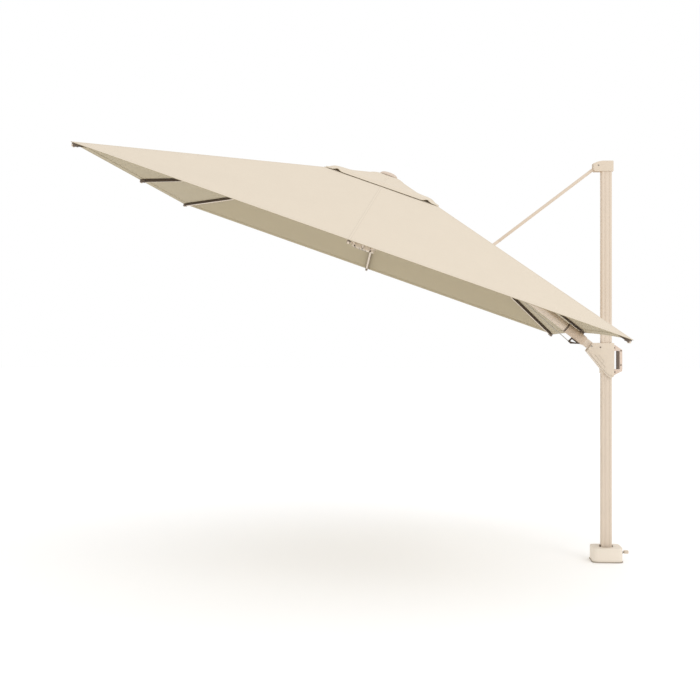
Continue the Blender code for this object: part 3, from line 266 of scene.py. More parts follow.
def coated_metal(name, tint, rough, grain, depth):
    """Powder coat baked on metal: an even satin skin with a fine orange peel, which breaks up its highlights.
    The peel is really about 0.5 mm; it is drawn at the grain given, as coarse as it needs to show."""
    made, tree, shader = new_material(name, tint, {"Roughness": rough, "IOR": 1.5, "Specular IOR Level": 0.4})
    place = add(tree, "ShaderNodeTexCoord").outputs["Object"]
    peel = add(tree, "ShaderNodeTexNoise", {"Scale": per_metre(grain), "Detail": 2.0}, {"Vector": place})
    clouds = add(tree, "ShaderNodeTexNoise", {"Scale": per_metre(220), "Detail": 4.0}, {"Vector": place})
    tree.links.new(tinted(tree, tint, clouds.outputs[0], 0.955, 1.03), shader.inputs["Base Color"])
    gloss = add(tree, "ShaderNodeMapRange", {"To Min": rough - 0.07, "To Max": rough + 0.07},
                {"Value": clouds.outputs[0]})
    tree.links.new(gloss.outputs[0], shader.inputs["Roughness"])
    bump = add(tree, "ShaderNodeBump", {"Strength": 0.25, "Distance": depth}, {"Height": peel.outputs[0]})
    tree.links.new(bump.outputs[0], shader.inputs["Normal"])
    return made


def moulded_plastic(name, tint, rough, grain):
    """Injection-moulded plastic from a spark-eroded tool: matt, with a fine pebbled skin."""
    settings = {"Roughness": rough, "IOR": 1.53, "Specular IOR Level": 0.45}
    made, tree, shader = new_material(name, tint, settings)
    place = add(tree, "ShaderNodeTexCoord").outputs["Object"]
    pebble = add(tree, "ShaderNodeTexVoronoi", {"Scale": per_metre(grain)}, {"Vector": place})
    flow = add(tree, "ShaderNodeTexNoise", {"Scale": per_metre(60), "Detail": 3.0}, {"Vector": place})
    tree.links.new(tinted(tree, tint, flow.outputs[0], 0.96, 1.03), shader.inputs["Base Color"])
    bump = add(tree, "ShaderNodeBump", {"Strength": 0.15, "Distance": 0.0002}, {"Height": pebble.outputs[0]})
    tree.links.new(bump.outputs[0], shader.inputs["Normal"])
    return made


def plated_steel(name, tint):
    """Zinc-plated steel: a dull metal with faint turning marks."""
    made, tree, shader = new_material(name, tint, {"Metallic": 1.0, "Roughness": 0.38})
    place = add(tree, "ShaderNodeTexCoord").outputs["Object"]
    spangle = add(tree, "ShaderNodeTexNoise", {"Scale": per_metre(3), "Detail": 4.0}, {"Vector": place})
    tree.links.new(tinted(tree, tint, spangle.outputs[0], 0.85, 1.08), shader.inputs["Base Color"])
    gloss = add(tree, "ShaderNodeMapRange", {"To Min": 0.28, "To Max": 0.5}, {"Value": spangle.outputs[0]})
    tree.links.new(gloss.outputs[0], shader.inputs["Roughness"])
    return made


def stitch_rows(tree, across, along, rows, pitch):
    """1 on stitches: rows are distances from zero of the across value, and pitch is a stitch's length,
    in metres."""
    found = None
    for row in rows:
        off = add(tree, "ShaderNodeMath", {"operation": "SUBTRACT", 1: row}, {0: across})
        near = add(tree, "ShaderNodeMath", {"operation": "ABSOLUTE"}, {0: off.outputs[0]})
        band = add(tree, "ShaderNodeMapRange", {"From Max": 0.0016, "To Min": 1.0, "To Max": 0.0},
                   {"Value": near.outputs[0]})
        found = band.outputs[0] if found is None else add(
            tree, "ShaderNodeMath", {"operation": "MAXIMUM"}, {0: found, 1: band.outputs[0]}).outputs[0]
    turn = add(tree, "ShaderNodeMath", {"operation": "MULTIPLY", 1: 2 * math.pi / pitch}, {0: along})
    wave = add(tree, "ShaderNodeMath", {"operation": "SINE"}, {0: turn.outputs[0]})
    gaps = add(tree, "ShaderNodeMapRange", {"From Min": -0.8, "From Max": 0.1}, {"Value": wave.outputs[0]})
    return add(tree, "ShaderNodeMath", {"operation": "MULTIPLY"}, {0: found, 1: gaps.outputs[0]}).outputs[0]


def canvas(name, tint, rows, weave=0.35, thread_shade=0.72):
    """Solution-dyed olefin canvas in plain weave: matt, with a faint sheen at grazing light. The threads are
    0.6 mm apart; they are drawn 2 mm apart, the finest that shows. Stitches run along the rows given."""
    made, tree, shader = new_material(name, tint, {
        "Roughness": 0.88, "Specular IOR Level": 0.2, "Sheen Weight": 0.12, "Sheen Roughness": 0.5,
    })
    cut = add(tree, "ShaderNodeUVMap", {"uv_map": "cloth"}).outputs[0]
    warp = add(tree, "ShaderNodeTexWave", {"bands_direction": "X", "Scale": wave_scale(2.0)}, {"Vector": cut})
    weft = add(tree, "ShaderNodeTexWave", {"bands_direction": "Y", "Scale": wave_scale(2.0)}, {"Vector": cut})
    threads = add(tree, "ShaderNodeMath", {"operation": "MULTIPLY"}, {0: warp.outputs[1], 1: weft.outputs[1]})
    stretch = add(tree, "ShaderNodeMapping", {"Scale": (12.0, 90.0, 1.0)}, {"Vector": cut})
    slub = add(tree, "ShaderNodeTexNoise", {"Scale": 1.0, "Detail": 3.0}, {"Vector": stretch.outputs[0]})
    clouds = add(tree, "ShaderNodeTexNoise", {"Scale": per_metre(300), "Detail": 3.0}, {"Vector": cut})
    mixed = add(tree, "ShaderNodeMath", {"operation": "ADD"}, {0: slub.outputs[0], 1: clouds.outputs[0]})
    half = add(tree, "ShaderNodeMath", {"operation": "MULTIPLY", 1: 0.5}, {0: mixed.outputs[0]})
    dyed = tinted(tree, tint, half.outputs[0], 0.955, 1.035)
    sewing = add(tree, "ShaderNodeUVMap", {"uv_map": "sewing"}).outputs[0]
    split = add(tree, "ShaderNodeSeparateXYZ", {}, {0: sewing})
    stitches = stitch_rows(tree, split.outputs[1], split.outputs[0], rows, 0.006)
    thread = [c * thread_shade for c in tint]
    sewn = add(tree, "ShaderNodeMix", {"data_type": "RGBA", 7: (*thread, 1)}, {0: stitches, 6: dyed})
    tree.links.new(sewn.outputs[2], shader.inputs["Base Color"])
    high = add(tree, "ShaderNodeMath", {"operation": "MULTIPLY_ADD", 1: 2.0},
               {0: stitches, 2: threads.outputs[0]})
    bump = add(tree, "ShaderNodeBump", {"Strength": weave, "Distance": 0.0004}, {"Height": high.outputs[0]})
    tree.links.new(bump.outputs[0], shader.inputs["Normal"])
    return made


def braid(name, tint):
    """Braided polyester cord: a diamond of crossing strands, drawn at 3 mm where the real ones are 1 mm."""
    made, tree, shader = new_material(name, tint, {"Roughness": 0.75, "Sheen Weight": 0.1})
    place = add(tree, "ShaderNodeTexCoord").outputs["Object"]
    strands = []
    for turn in (0.8, -0.8):
        lay = add(tree, "ShaderNodeMapping", {"Rotation": (turn, turn / 2, turn)}, {"Vector": place})
        strand = {"bands_direction": "DIAGONAL", "Scale": wave_scale(3.0)}
        strands.append(add(tree, "ShaderNodeTexWave", strand, {"Vector": lay.outputs[0]}).outputs[1])
    crossed = add(tree, "ShaderNodeMath", {"operation": "MAXIMUM"}, {0: strands[0], 1: strands[1]})
    tree.links.new(tinted(tree, tint, crossed.outputs[0], 0.7, 1.08), shader.inputs["Base Color"])
    bump = add(tree, "ShaderNodeBump", {"Strength": 0.6, "Distance": 0.0005}, {"Height": crossed.outputs[0]})
    tree.links.new(bump.outputs[0], shader.inputs["Normal"])
    return made


MATERIALS = {}


def finish(name):
    """The material of that name, made on first use."""
    if name not in MATERIALS:
        c, hem = colours(), sizes().hem
        makers = {
            "olefin canvas": lambda: canvas(name, list(c.canvas), (0.004, hem - 0.003)),
            # the underside and the hems take the canvas back's colour, which is painted shade
            "canvas back in painted shade": lambda: canvas(name, list(c.canvas_back_painted_shade), (hem - 0.003,), 0.2, 0.93),
            "felled seam": lambda: canvas(name, list(c.canvas), (-0.006, 0.006)),
            "hem binding in painted shade": lambda: canvas(name, list(c.canvas_back_painted_shade), (0.003, hem - 0.003), 0.2, 0.93),
            "powder-coated aluminium": lambda: coated_metal(name, list(c.coat), 0.46, 1.6, 0.00015),
            "powder-coated cast iron": lambda: coated_metal(name, list(c.casting), 0.52, 3.0, 0.0004),
            "moulded nylon": lambda: moulded_plastic(name, list(c.moulding), 0.55, 1.5),
            "powder-coated sleeve": lambda: coated_metal(name, list(c.sleeve), 0.48, 1.6, 0.00015),
            "powder-coated plate": lambda: coated_metal(name, list(c.plate), 0.5, 2.0, 0.0002),
            "powder-coated grip": lambda: coated_metal(name, list(c.grip), 0.5, 1.2, 0.00015),
            "dark powder coat and painted shade": lambda: coated_metal(name, list(c.shade), 0.55, 1.6, 0.00012),
            "moulded knob nylon": lambda: moulded_plastic(name, list(c.knob), 0.6, 1.5),
            "dark acetal and painted shade": lambda: moulded_plastic(name, list(c.dark), 0.45, 1.5),
            "zinc-plated steel": lambda: plated_steel(name, list(c.steel)),
            "braided polyester": lambda: braid(name, list(c.cord)),
        }
        MATERIALS[name] = makers[name]()
    return MATERIALS[name]


# ---- modelling helpers --------------------------------------------------------------------------
def deselect():
    if bpy.context.object and bpy.context.object.mode == "EDIT":
        bpy.ops.object.mode_set(mode="OBJECT")
    bpy.ops.object.select_all(action="DESELECT")


def only(obj):
    deselect()
    obj.select_set(True)
    bpy.context.view_layer.objects.active = obj
    return obj


def pick(obj, faces=None, edges=None):
    """Selects faces or edges by a test of each, in edit mode."""
    shape = bmesh.from_edit_mesh(obj.data)
    bpy.ops.mesh.select_all(action="DESELECT")
    bpy.ops.mesh.select_mode(type="FACE" if faces else "EDGE")
    for item in shape.faces if faces else shape.edges:
        if (faces or edges)(item):
            item.select_set(True)
    shape.select_flush_mode()
    bmesh.update_edit_mesh(obj.data)


def settled(obj, place=None):
    """Puts the object where the matrix says and moves that place into its mesh."""
    only(obj)
    if place is not None:
        obj.matrix_world = place @ obj.matrix_world
    bpy.ops.object.transform_apply(location=True, rotation=True, scale=True)
    return obj


def smooth(obj, degrees=35):
    only(obj)
    bpy.ops.object.shade_smooth_by_angle(angle=math.radians(degrees))
    return obj


def modified(obj, kind, **settings):
    """Adds a modifier and applies it."""
    only(obj)
    made = obj.modifiers.new(kind.lower(), kind)
    for name, value in settings.items():
        setattr(made, name, value)
    bpy.ops.object.modifier_apply(modifier=made.name)
    return obj


def dressed(obj, name, material, body, slot, *nodes):
    """Names a finished piece, gives it its material, lets it ride and stand for its nodes; its slot is not
    used.
    """
    obj.name = name
    if material:
        obj.data.materials.clear()
        obj.data.materials.append(finish(material))
    if body:
        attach(obj, body)
    if nodes:
        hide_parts(*nodes)
    return obj


def body_of_node(node):
    found = body_of(frame["nodes"][node])
    return found if isinstance(found, str) else found[0]


def machined(node, material, slot, width=None, segments=2, degrees=35):
    """A copy of a solid with its triangles merged into faces and its edges eased, in place of the solid."""
    body = body_of_node(node)
    obj = bpy.data.objects.new("finished_" + node, frame["nodes"][node].data.copy())
    bpy.context.scene.collection.objects.link(obj)
    only(obj)
    bpy.ops.object.mode_set(mode="EDIT")
    bpy.ops.mesh.select_all(action="SELECT")
    bpy.ops.mesh.remove_doubles(threshold=0.00001)
    bpy.ops.mesh.dissolve_limited(angle_limit=math.radians(1.0))
    bpy.ops.object.mode_set(mode="OBJECT")
    width = sizes().edge if width is None else width
    if width:
        modified(obj, "BEVEL", width=width, segments=segments, limit_method="ANGLE",
                 angle_limit=math.radians(degrees))
    smooth(obj, degrees)
    return dressed(obj, "finished_" + node, material, body, slot, node)


def turned(profile, place, sides=32):
    """A turned piece from (radius, height) points, from its foot to its top, on the Z axis of place."""
    deselect()
    radius, height = profile[0]
    bpy.ops.mesh.primitive_circle_add(
        vertices=sides, radius=radius, location=(0, 0, height), fill_type="NGON")
    obj = bpy.context.object
    bpy.ops.object.transform_apply(location=True, rotation=True, scale=True)
    bpy.ops.object.mode_set(mode="EDIT")
    bpy.ops.mesh.select_mode(type="FACE")
    bpy.ops.mesh.select_all(action="SELECT")
    for wide, high in profile[1:]:
        bpy.ops.mesh.extrude_region_move(TRANSFORM_OT_translate={"value": (0, 0, high - height)})
        bpy.ops.transform.resize(value=(wide / radius, wide / radius, 1), center_override=(0, 0, high))
        radius, height = wide, high
    bpy.ops.mesh.select_all(action="SELECT")
    bpy.ops.mesh.normals_make_consistent(inside=False)
    bpy.ops.object.mode_set(mode="OBJECT")
    return smooth(settled(obj, place))


def rounded_block(low, high, width, segments=4, place=None):
    """A block between two corners with rounded edges."""
    deselect()
    low, high = Vector(low), Vector(high)
    bpy.ops.mesh.primitive_cube_add(size=1, location=(low + high) / 2, scale=high - low)
    obj = settled(bpy.context.object)
    modified(obj, "BEVEL", width=width, segments=segments, limit_method="NONE")
    return smooth(settled(obj, place) if place else obj)


def joined(objects):
    """Several objects made one."""
    deselect()
    for obj in objects:
        obj.select_set(True)
    bpy.context.view_layer.objects.active = objects[0]
    if len(objects) > 1:
        bpy.ops.object.join()
    return objects[0]


def facing(point, normal):
    """A placing matrix whose Z axis is the normal."""
    return Matrix.Translation(point) @ Vector(normal).to_track_quat("Z", "Y").to_matrix().to_4x4()


def recoated(obj, material, test):
    """Gives the faces that pass a test of their centre and normal another finish."""
    obj.data.materials.append(finish(material))
    for face in obj.data.polygons:
        if test(face.center, face.normal):
            face.material_index = len(obj.data.materials) - 1
    return obj


def screws(name, body, places, radius, high, material="zinc-plated steel", slot="zinc_plated_steel"):
    """Dished socket screws: one head is modelled and copied to each place, given as (point, normal)."""
    head = turned([
        (radius * 0.92, -high * 0.3), (radius, high * 0.35), (radius * 0.96, high * 0.7),
        (radius * 0.8, high), (radius * 0.5, high), (radius * 0.45, high * 0.35), (radius * 0.1, high * 0.3),
    ], Matrix(), 16)
    copies = []
    for point, normal in places:
        copy = bpy.data.objects.new(name, head.data.copy())
        bpy.context.scene.collection.objects.link(copy)
        copies.append(settled(copy, facing(point, normal)))
    bpy.data.objects.remove(head)
    return dressed(joined(copies), name, material, body, slot)


# ---- the cloth ----------------------------------------------------------------------------------
def canopy_point(x, y, lift=0.0):
    """A point of the canopy's cloth in the world. Panels sag a little between the ribs, but are straight at
    the rim, and the mast side's rim bows up."""
    reach = max(abs(x), abs(y))
    other = min(abs(x), abs(y))
    height = CANOPY_RISE * (1 - reach / HALF)
    if x > 0 and x >= abs(y):
        height += RIM_BOW * (x / HALF) ** 2 * (1 - (y / x) ** 2)
    share = other / reach
    out = min(1.0, max(0.0, (reach - TOP_OPENING) / (HALF - TOP_OPENING)))
    slack = math.sin(math.pi * share) * math.sin(math.pi * out)
    height -= sizes().sag * slack
    ripple = noise.noise(Vector((x * 2.3, y * 2.3, 4.0))) * 0.0016 * slack
    return CANOPY @ Vector((x, y, height + ripple + lift))


def vent_point(x, y, lift=0.0):
    """A point of the vent's cloth: it leaves the canopy at its corners, arches near them, dips, and lies
    flat under the knob."""
    reach = max(abs(x), abs(y), 1e-6)
    other = min(abs(x), abs(y))
    inwards = max(0.0, 1 - reach / VENT_HALF)
    from_corner = VENT_HALF * (1 - other / reach)
    below = CANOPY_RISE * (1 - reach / HALF)
    s = sizes()
    arch = math.exp(-(((from_corner - ARCH_AT) / ARCH_WIDE) ** 2))
    gap = 0.002 + (s.vent_gap - 0.002) * min(1.0, from_corner / 0.030)
    off = gap + s.vent_arch * arch
    start = 0.0
    for end, lifted in VENT_SHAPE:
        share = min(1.0, max(0.0, (inwards - start) / (end - start)))
        off += (lifted - off) * share * share * (3 - 2 * share)
        start = end
    height = below + off
    near_knob = max(0.0, 1 - reach / KNOB_DRAW)
    height = height * (1 - near_knob ** 0.8) + (VENT_FLAT + 0.0004) * near_knob ** 0.8
    return CANOPY @ Vector((x, y, min(height, VENT_FLAT + 0.0015) + lift))


def gore_place(azimuth, reach, b):
    """A point in the canopy's plane: reach is the distance to the rim's line, b runs across the gore."""
    corner = azimuth % 90 != 0
    bend = math.tan(math.pi / 8)
    if corner:
        turn = math.radians(azimuth - 45)
        edge = bend + (1 - bend) * (1 - abs(b))
        x, y = (reach, reach * edge) if b <= 0 else (reach * edge, reach)
    else:
        turn = math.radians(azimuth)
        x, y = reach, reach * bend * b
    return x * math.cos(turn) - y * math.sin(turn), x * math.sin(turn) + y * math.cos(turn)


def cut_length(x, y):
    """Where a point lies on the flat-cut panel of its side: along the rim and up the slope, in metres."""
    if abs(x) > abs(y):
        along, reach = y * math.copysign(1, x), abs(x)
    else:
        along, reach = -x * math.copysign(1, y), abs(y)
    return along, (HALF - reach) * math.hypot(1, CANOPY_RISE / HALF)


def cloth_grid(surface, inner, outer, azimuth, counts, lift=0.0):
    """A gore's sheet: a grid primitive, its points laid on the surface, with its two UV maps."""
    rows, columns = counts
    deselect()
    bpy.ops.mesh.primitive_grid_add(x_subdivisions=columns, y_subdivisions=rows, size=2)
    obj = bpy.context.object
    flat = []
    for vertex in obj.data.vertices:
        b, reach = vertex.co.x, inner + (outer - inner) * (vertex.co.y + 1) / 2
        x, y = gore_place(azimuth, reach, b)
        flat.append((x, y, reach))
        vertex.co = surface(x, y, lift)
    mesh = obj.data
    mesh.uv_layers[0].name = "cloth"
    sewing = mesh.uv_layers.new(name="sewing")
    for face in mesh.polygons:
        middle = [sum(flat[mesh.loops[i].vertex_index][k] for i in face.loop_indices) for k in (0, 1)]
        across_x = abs(middle[0]) > abs(middle[1])
        for i in face.loop_indices:
            x, y, reach = flat[mesh.loops[i].vertex_index]
            nudged = (x * 1.0001, y) if across_x else (x, y * 1.0001)
            along, up = cut_length(*nudged)
            mesh.uv_layers["cloth"].data[i].uv = (along, up)
            sewing.data[i].uv = (along, (outer - reach) * math.hypot(1, CANOPY_RISE / HALF))
    return obj


def facing_up(obj):
    """Turns an open sheet so that its faces look up."""
    only(obj)
    if sum((f.normal.dot(CANOPY_UP) for f in obj.data.polygons)) < 0:
        bpy.ops.object.mode_set(mode="EDIT")
        bpy.ops.mesh.select_all(action="SELECT")
        bpy.ops.mesh.flip_normals()
        bpy.ops.object.mode_set(mode="OBJECT")
    return obj


def sheet_with_thickness(obj, thick, top, under):
    """Gives an open sheet its thickness below it, with another material on its underside."""
    facing_up(obj)
    obj.data.materials.clear()
    obj.data.materials.append(finish(top))
    obj.data.materials.append(finish(under))
    modified(obj, "SOLIDIFY", thickness=thick, offset=-1, material_offset=1, material_offset_rim=0,
             use_even_offset=True)
    return smooth(obj, 40)


def gathers(obj):
    """Gives the cloth a mesh of its own."""
    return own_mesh(obj)


class PARASOL_OT_canopy(bpy.types.Operator):
    """Canopy cloth: eight gores, one to a rib, that meet midway between the ribs, with hems and seams"""
    bl_idname = "parasol.canopy"
    bl_label = "Canopy"

    def execute(self, context):
        s = sizes()
        for name, azimuth, body in RIBS:
            cloth = cloth_grid(canopy_point, TOP_OPENING, HALF, azimuth, (60, 32))
            if name == "mast_side":
                open_slit(cloth)
            # the underside takes the canvas back, painted shade under the canopy
            sheet_with_thickness(cloth, s.cloth_thick, "olefin canvas", "canvas back in painted shade")
            dressed(cloth, "canopy_cloth_" + name, None, body, "sand_canvas", "canopy_gore_" + name)
            under = -s.cloth_thick - HEM_CLEAR
            hem = cloth_grid(canopy_point, HALF - s.hem, HALF + HEM_PROUD, azimuth, (3, 32), under)
            sheet_with_thickness(hem, HEM_THICK, "hem binding in painted shade", "hem binding in painted shade")
            dressed(hem, "rim_hem_" + name, None, body, "sand_canvas")
            seam = seam_strip(azimuth, TOP_OPENING, HALF, s.seam)
            dressed(seam, "seam_" + name, None, body, "sand_canvas")
            for obj in (cloth, hem, seam):
                gathers(obj)
        return {"FINISHED"}


def open_slit(obj):
    """Cuts the slit for the strut's fork in the mast side's cloth."""
    foot = CANOPY.inverted() @ STRUT_FOOT
    slit_outer, slit_inner, slit_half = 0.030, 0.150, 0.062
    only(obj)
    bpy.ops.object.mode_set(mode="EDIT")
    for side in (-1, 1):
        bpy.ops.mesh.select_all(action="SELECT")
        bpy.ops.mesh.bisect(plane_co=CANOPY @ Vector((0, side * slit_half, 0)), plane_no=(0, 1, 0))
    outwards = CANOPY.to_3x3() @ Vector((1, 0, 0))
    for edge in (foot.x - slit_outer, foot.x + slit_inner):
        bpy.ops.mesh.select_all(action="SELECT")
        bpy.ops.mesh.bisect(plane_co=CANOPY @ Vector((edge, 0, 0)), plane_no=outwards)
    back = CANOPY.inverted()

    def inside(face):
        p = back @ face.calc_center_median()
        return foot.x - slit_outer < p.x < foot.x + slit_inner and abs(p.y) < slit_half

    pick(obj, faces=inside)
    bpy.ops.mesh.delete(type="FACE")
    bpy.ops.object.mode_set(mode="OBJECT")


def seam_strip(azimuth, inner, outer, wide, surface=canopy_point):
    """A felled seam: a narrow doubled strip that lies on the cloth along a rib."""
    turn = math.radians(azimuth)
    stretch = math.sqrt(2) if azimuth % 90 else 1.0
    rows, columns = 60, 5
    deselect()
    bpy.ops.mesh.primitive_grid_add(x_subdivisions=columns, y_subdivisions=rows, size=2)
    obj = bpy.context.object
    mesh = obj.data
    where = []
    for vertex in mesh.vertices:
        reach = (inner + (outer - inner) * (vertex.co.y + 1) / 2) * stretch
        side = vertex.co.x * wide / 2
        x = reach * math.cos(turn) - side * math.sin(turn)
        y = reach * math.sin(turn) + side * math.cos(turn)
        crown = 0.0009 * (1 - vertex.co.x ** 4) + 0.0001
        where.append((reach, side))
        vertex.co = surface(x, y, crown)
    mesh.uv_layers[0].name = "cloth"
    sewing = mesh.uv_layers.new(name="sewing")
    for loop in mesh.loops:
        mesh.uv_layers["cloth"].data[loop.index].uv = where[loop.vertex_index]
        sewing.data[loop.index].uv = where[loop.vertex_index]
    return sheet_with_thickness(obj, 0.0006, "felled seam", "felled seam")


class PARASOL_OT_vent(bpy.types.Operator):
    """Vent: the small square canopy over the opening, arched up near its corners to let the wind out"""
    bl_idname = "parasol.vent"
    bl_label = "Vent"

    def execute(self, context):
        s = sizes()
        for name, azimuth, body in RIBS:
            cloth = cloth_grid(vent_point, VENT_HOLE, VENT_HALF, azimuth, (44, 36))
            # the underside takes the canvas back, painted shade under the vent
            sheet_with_thickness(cloth, s.cloth_thick, "olefin canvas", "canvas back in painted shade")
            nodes = ["vent_canopy"] if name == "mast_side" else []
            dressed(cloth, "vent_cloth_" + name, None, body, "sand_canvas", *nodes)
            under = -s.cloth_thick - HEM_CLEAR
            edge = VENT_HALF + VENT_HEM_PROUD
            hem = cloth_grid(vent_point, VENT_HALF - VENT_HEM, edge, azimuth, (2, 36), under)
            sheet_with_thickness(hem, VENT_HEM_THICK, "hem binding in painted shade", "hem binding in painted shade")
            dressed(hem, "vent_hem_" + name, None, body, "sand_canvas")
            seam = seam_strip(azimuth, VENT_SEAM_FROM, VENT_HALF, VENT_SEAM, vent_point)
            dressed(seam, "vent_seam_" + name, None, body, "sand_canvas")
            for obj in (cloth, hem, seam):
                gathers(obj)
        return {"FINISHED"}


# ---- canopy frame -------------------------------------------------------------------------------
RIVET_OUT, HINGE_RIVET_OUT = 0.0085, 0.0078
TIP_DROP = 0.0145
CROWN_SCREWS_AT, RUNNER_SCREWS_AT = 0.060, 0.052
HUB_HALF = 0.0134


class PARASOL_OT_ribs(bpy.types.Operator):
    """Ribs and stretchers: coated tubes with eased edges, rivets at their pins and caps at their tips"""
    bl_idname = "parasol.ribs"
    bl_label = "Ribs and stretchers"

    def execute(self, context):
        for name, azimuth, body in RIBS:
            node = "mast_side_rib" if name == "mast_side" else "rib_" + name
            turn = math.radians(azimuth)
            across = CANOPY.to_3x3() @ Vector((-math.sin(turn), math.cos(turn), 0))
            rib = machined(node, "powder-coated aluminium", "sand_powder_coat", 0.0010)
            # the rib's flanks take the dark coat as painted shade; its bottom face keeps the pale coat
            recoated(rib, "dark powder coat and painted shade", lambda centre, normal: abs(normal.dot(across)) > 0.6)
            rib_tip(name, azimuth, body)
            if name == "mast_side":
                continue
            machined("stretcher_" + name, "powder-coated aluminium", "sand_powder_coat", 0.0008)
            pin = joint_place("stretcher_hinge_" + name)
            hinge = "canopy_fold" if name == "outer_near" else "rib_hinge_" + name
            across = joint_axis("stretcher_hinge_" + name)
            root = joint_place(hinge)
            both = (across, -across)
            screws("rib_rivets_" + name, body, [(pin + way * RIVET_OUT, way) for way in both], 0.0048, 0.0016)
            screws("hinge_rivets_" + name, "arm", [(root + way * HINGE_RIVET_OUT, way) for way in both],
                   0.0042, 0.0014)
        return {"FINISHED"}


def rib_tip(name, azimuth, body):
    """A moulded cap on a rib's end, with the button that holds the cloth's pocket."""
    turn = math.radians(azimuth)
    stretch = math.sqrt(2) if azimuth % 90 else 1.0
    out = Vector((math.cos(turn), math.sin(turn), 0))
    end = HALF * stretch
    tip = CANOPY.inverted() @ canopy_point(*(out * (end - 0.004)).xy)
    root = CANOPY.inverted() @ canopy_point(*(out * (end - 0.060)).xy)
    along = (tip - root).normalized()
    up = Vector((-math.sin(turn), math.cos(turn), 0)).cross(along) * -1
    if up.z < 0:
        up = -up
    place = CANOPY @ axes_at(tip - up * TIP_DROP, along, up)
    cap = rounded_block((-0.030, -0.0080, -0.0102), (-0.002, 0.0080, 0.0102), 0.0025, 3, place)
    collar = rounded_block((-0.033, -0.0088, -0.0118), (-0.029, 0.0088, 0.0112), 0.0012, 2, place)
    nose = rounded_block((-0.004, -0.0058, -0.0092), (0.0004, 0.0058, 0.0020), 0.0015, 2, place)
    button = turned([(0.0040, 0), (0.0042, 0.002), (0.0036, 0.0036), (0.0018, 0.0044)],
                    place @ Matrix.Translation((-0.012, 0, -0.0102)) @ Matrix.Rotation(math.pi, 4, "X"), 20)
    for obj, material in ((cap, "dark acetal and painted shade"), (collar, "dark acetal and painted shade"), (nose, "moulded nylon"),
                          (button, "moulded nylon")):
        obj.data.materials.append(finish(material))
    dressed(joined([cap, collar, nose, button]), "rib_tip_" + name, None, body, "dark_acetal")


def in_notch(centre, normal):
    """Whether a face of a hub is the wall of one of its notches: upright, and off the hub's round rim."""
    here = CANOPY.inverted() @ centre
    flat = Vector((here.x, here.y))
    turned_in = CANOPY.to_3x3().inverted() @ normal
    return abs(turned_in.z) < 0.5 and flat.length > 0.030 and turned_in.xy.dot(flat.normalized()) < 0.8


def ring_under(radius, height):
    """Places and directions for screws under a hub whose middle is at that height, one between two ribs."""
    places = []
    for name, azimuth, body in RIBS:
        turn = math.radians(azimuth + 22.5)
        point = Vector((radius * math.cos(turn), radius * math.sin(turn), height - HUB_HALF))
        places.append((CANOPY @ point, -CANOPY_UP))
    return places


class PARASOL_OT_crown(bpy.types.Operator):
    """Crown, runner and knob: the slotted hub that the ribs hinge on, the lower hub and the domed knob"""
    bl_idname = "parasol.crown"
    bl_label = "Crown, runner and knob"

    def execute(self, context):
        for node, material, slot in (("crown_hub", "powder-coated aluminium", "sand_powder_coat"),
                                     ("runner", "moulded nylon", "pale_nylon")):
            hub = machined(node, material, slot, 0.0012)
            # the walls of the hub's notches take the dark coat as painted shade
            recoated(hub, "dark powder coat and painted shade", in_notch)
        under = KNOB_UNDER
        knob = turned([
            (0.0100, under - 0.012), (0.0100, under), (0.0540, under - 0.0002), (0.0568, under + 0.0010),
            (0.0572, under + 0.0040), (0.0566, under + 0.0085), (0.0530, under + 0.0130),
            (0.0450, under + 0.0180), (0.0360, under + 0.0215), (0.0280, under + 0.0232),
            (0.0180, under + 0.0238), (0.0020, under + 0.0240),
        ], CANOPY, 64)
        dressed(knob, "domed_knob", "moulded knob nylon", "arm", "pale_nylon", "crown_cap")
        washer = turned([(0.0560, under - 0.0022), (0.0566, under - 0.0018), (0.0566, under - 0.0004),
                         (0.0540, under)], CANOPY, 64)
        dressed(washer, "knob_washer", "dark acetal and painted shade", "arm", "dark_acetal")
        screws("crown_screws", "arm", ring_under(CROWN_SCREWS_AT, HINGE_HEIGHT), 0.0055, 0.0035)
        height = (box_middle("runner") - CANOPY.translation).dot(CANOPY_UP)
        screws("runner_screws", "runner", ring_under(RUNNER_SCREWS_AT, height), 0.0048, 0.0030)
        machined("hoist_ferrule", "zinc-plated steel", "zinc_plated_steel", 0.0005)
        return {"FINISHED"}


# ---- arm, strut and cords -----------------------------------------------------------------------
class PARASOL_OT_arm(bpy.types.Operator):
    """Arm: its tube, root sleeve, ring, knuckle and the collar that the strut's fork pins to"""
    bl_idname = "parasol.arm"
    bl_label = "Arm"

    def execute(self, context):
        machined("cord_cleat", "dark powder coat and painted shade", "sand_powder_coat", 0.0008)
        machined("arm_sleeve", "powder-coated sleeve", "sand_powder_coat", 0.0006)
        for node, width in (("arm_tube", 0), ("arm_knuckle", 0.0010),
                            ("strut_collar", 0.0010)):
            machined(node, "powder-coated aluminium", "sand_powder_coat", width)
        for node in ("arm_ring", "cord_guide"):
            machined(node, "dark acetal and painted shade", "dark_acetal", 0.0005)
        for node in ("fork_pin_near", "fork_pin_far"):
            machined(node, "zinc-plated steel", "zinc_plated_steel", 0.0006)
        return {"FINISHED"}


class PARASOL_OT_strut(bpy.types.Operator):
    """Strut: the rod that holds the arm from the mast's head, its forged eye and its fork"""
    bl_idname = "parasol.strut"
    bl_label = "Strut"

    def execute(self, context):
        for node, width in (("strut_head", 0.0010), ("strut_rod", 0), ("strut_fork", 0.0010)):
            machined(node, "powder-coated aluminium", "sand_powder_coat", width)
        machined("strut_pin", "zinc-plated steel", "zinc_plated_steel", 0.0005)
        return {"FINISHED"}


PULL_CORD_R, HOIST_CORD_R = 0.0025, 0.0020
PULL_CORD_STEPS = 70
# how much further than its solid the pull cord runs, to the cleat's tip
CLEAT_REACH = 0.010


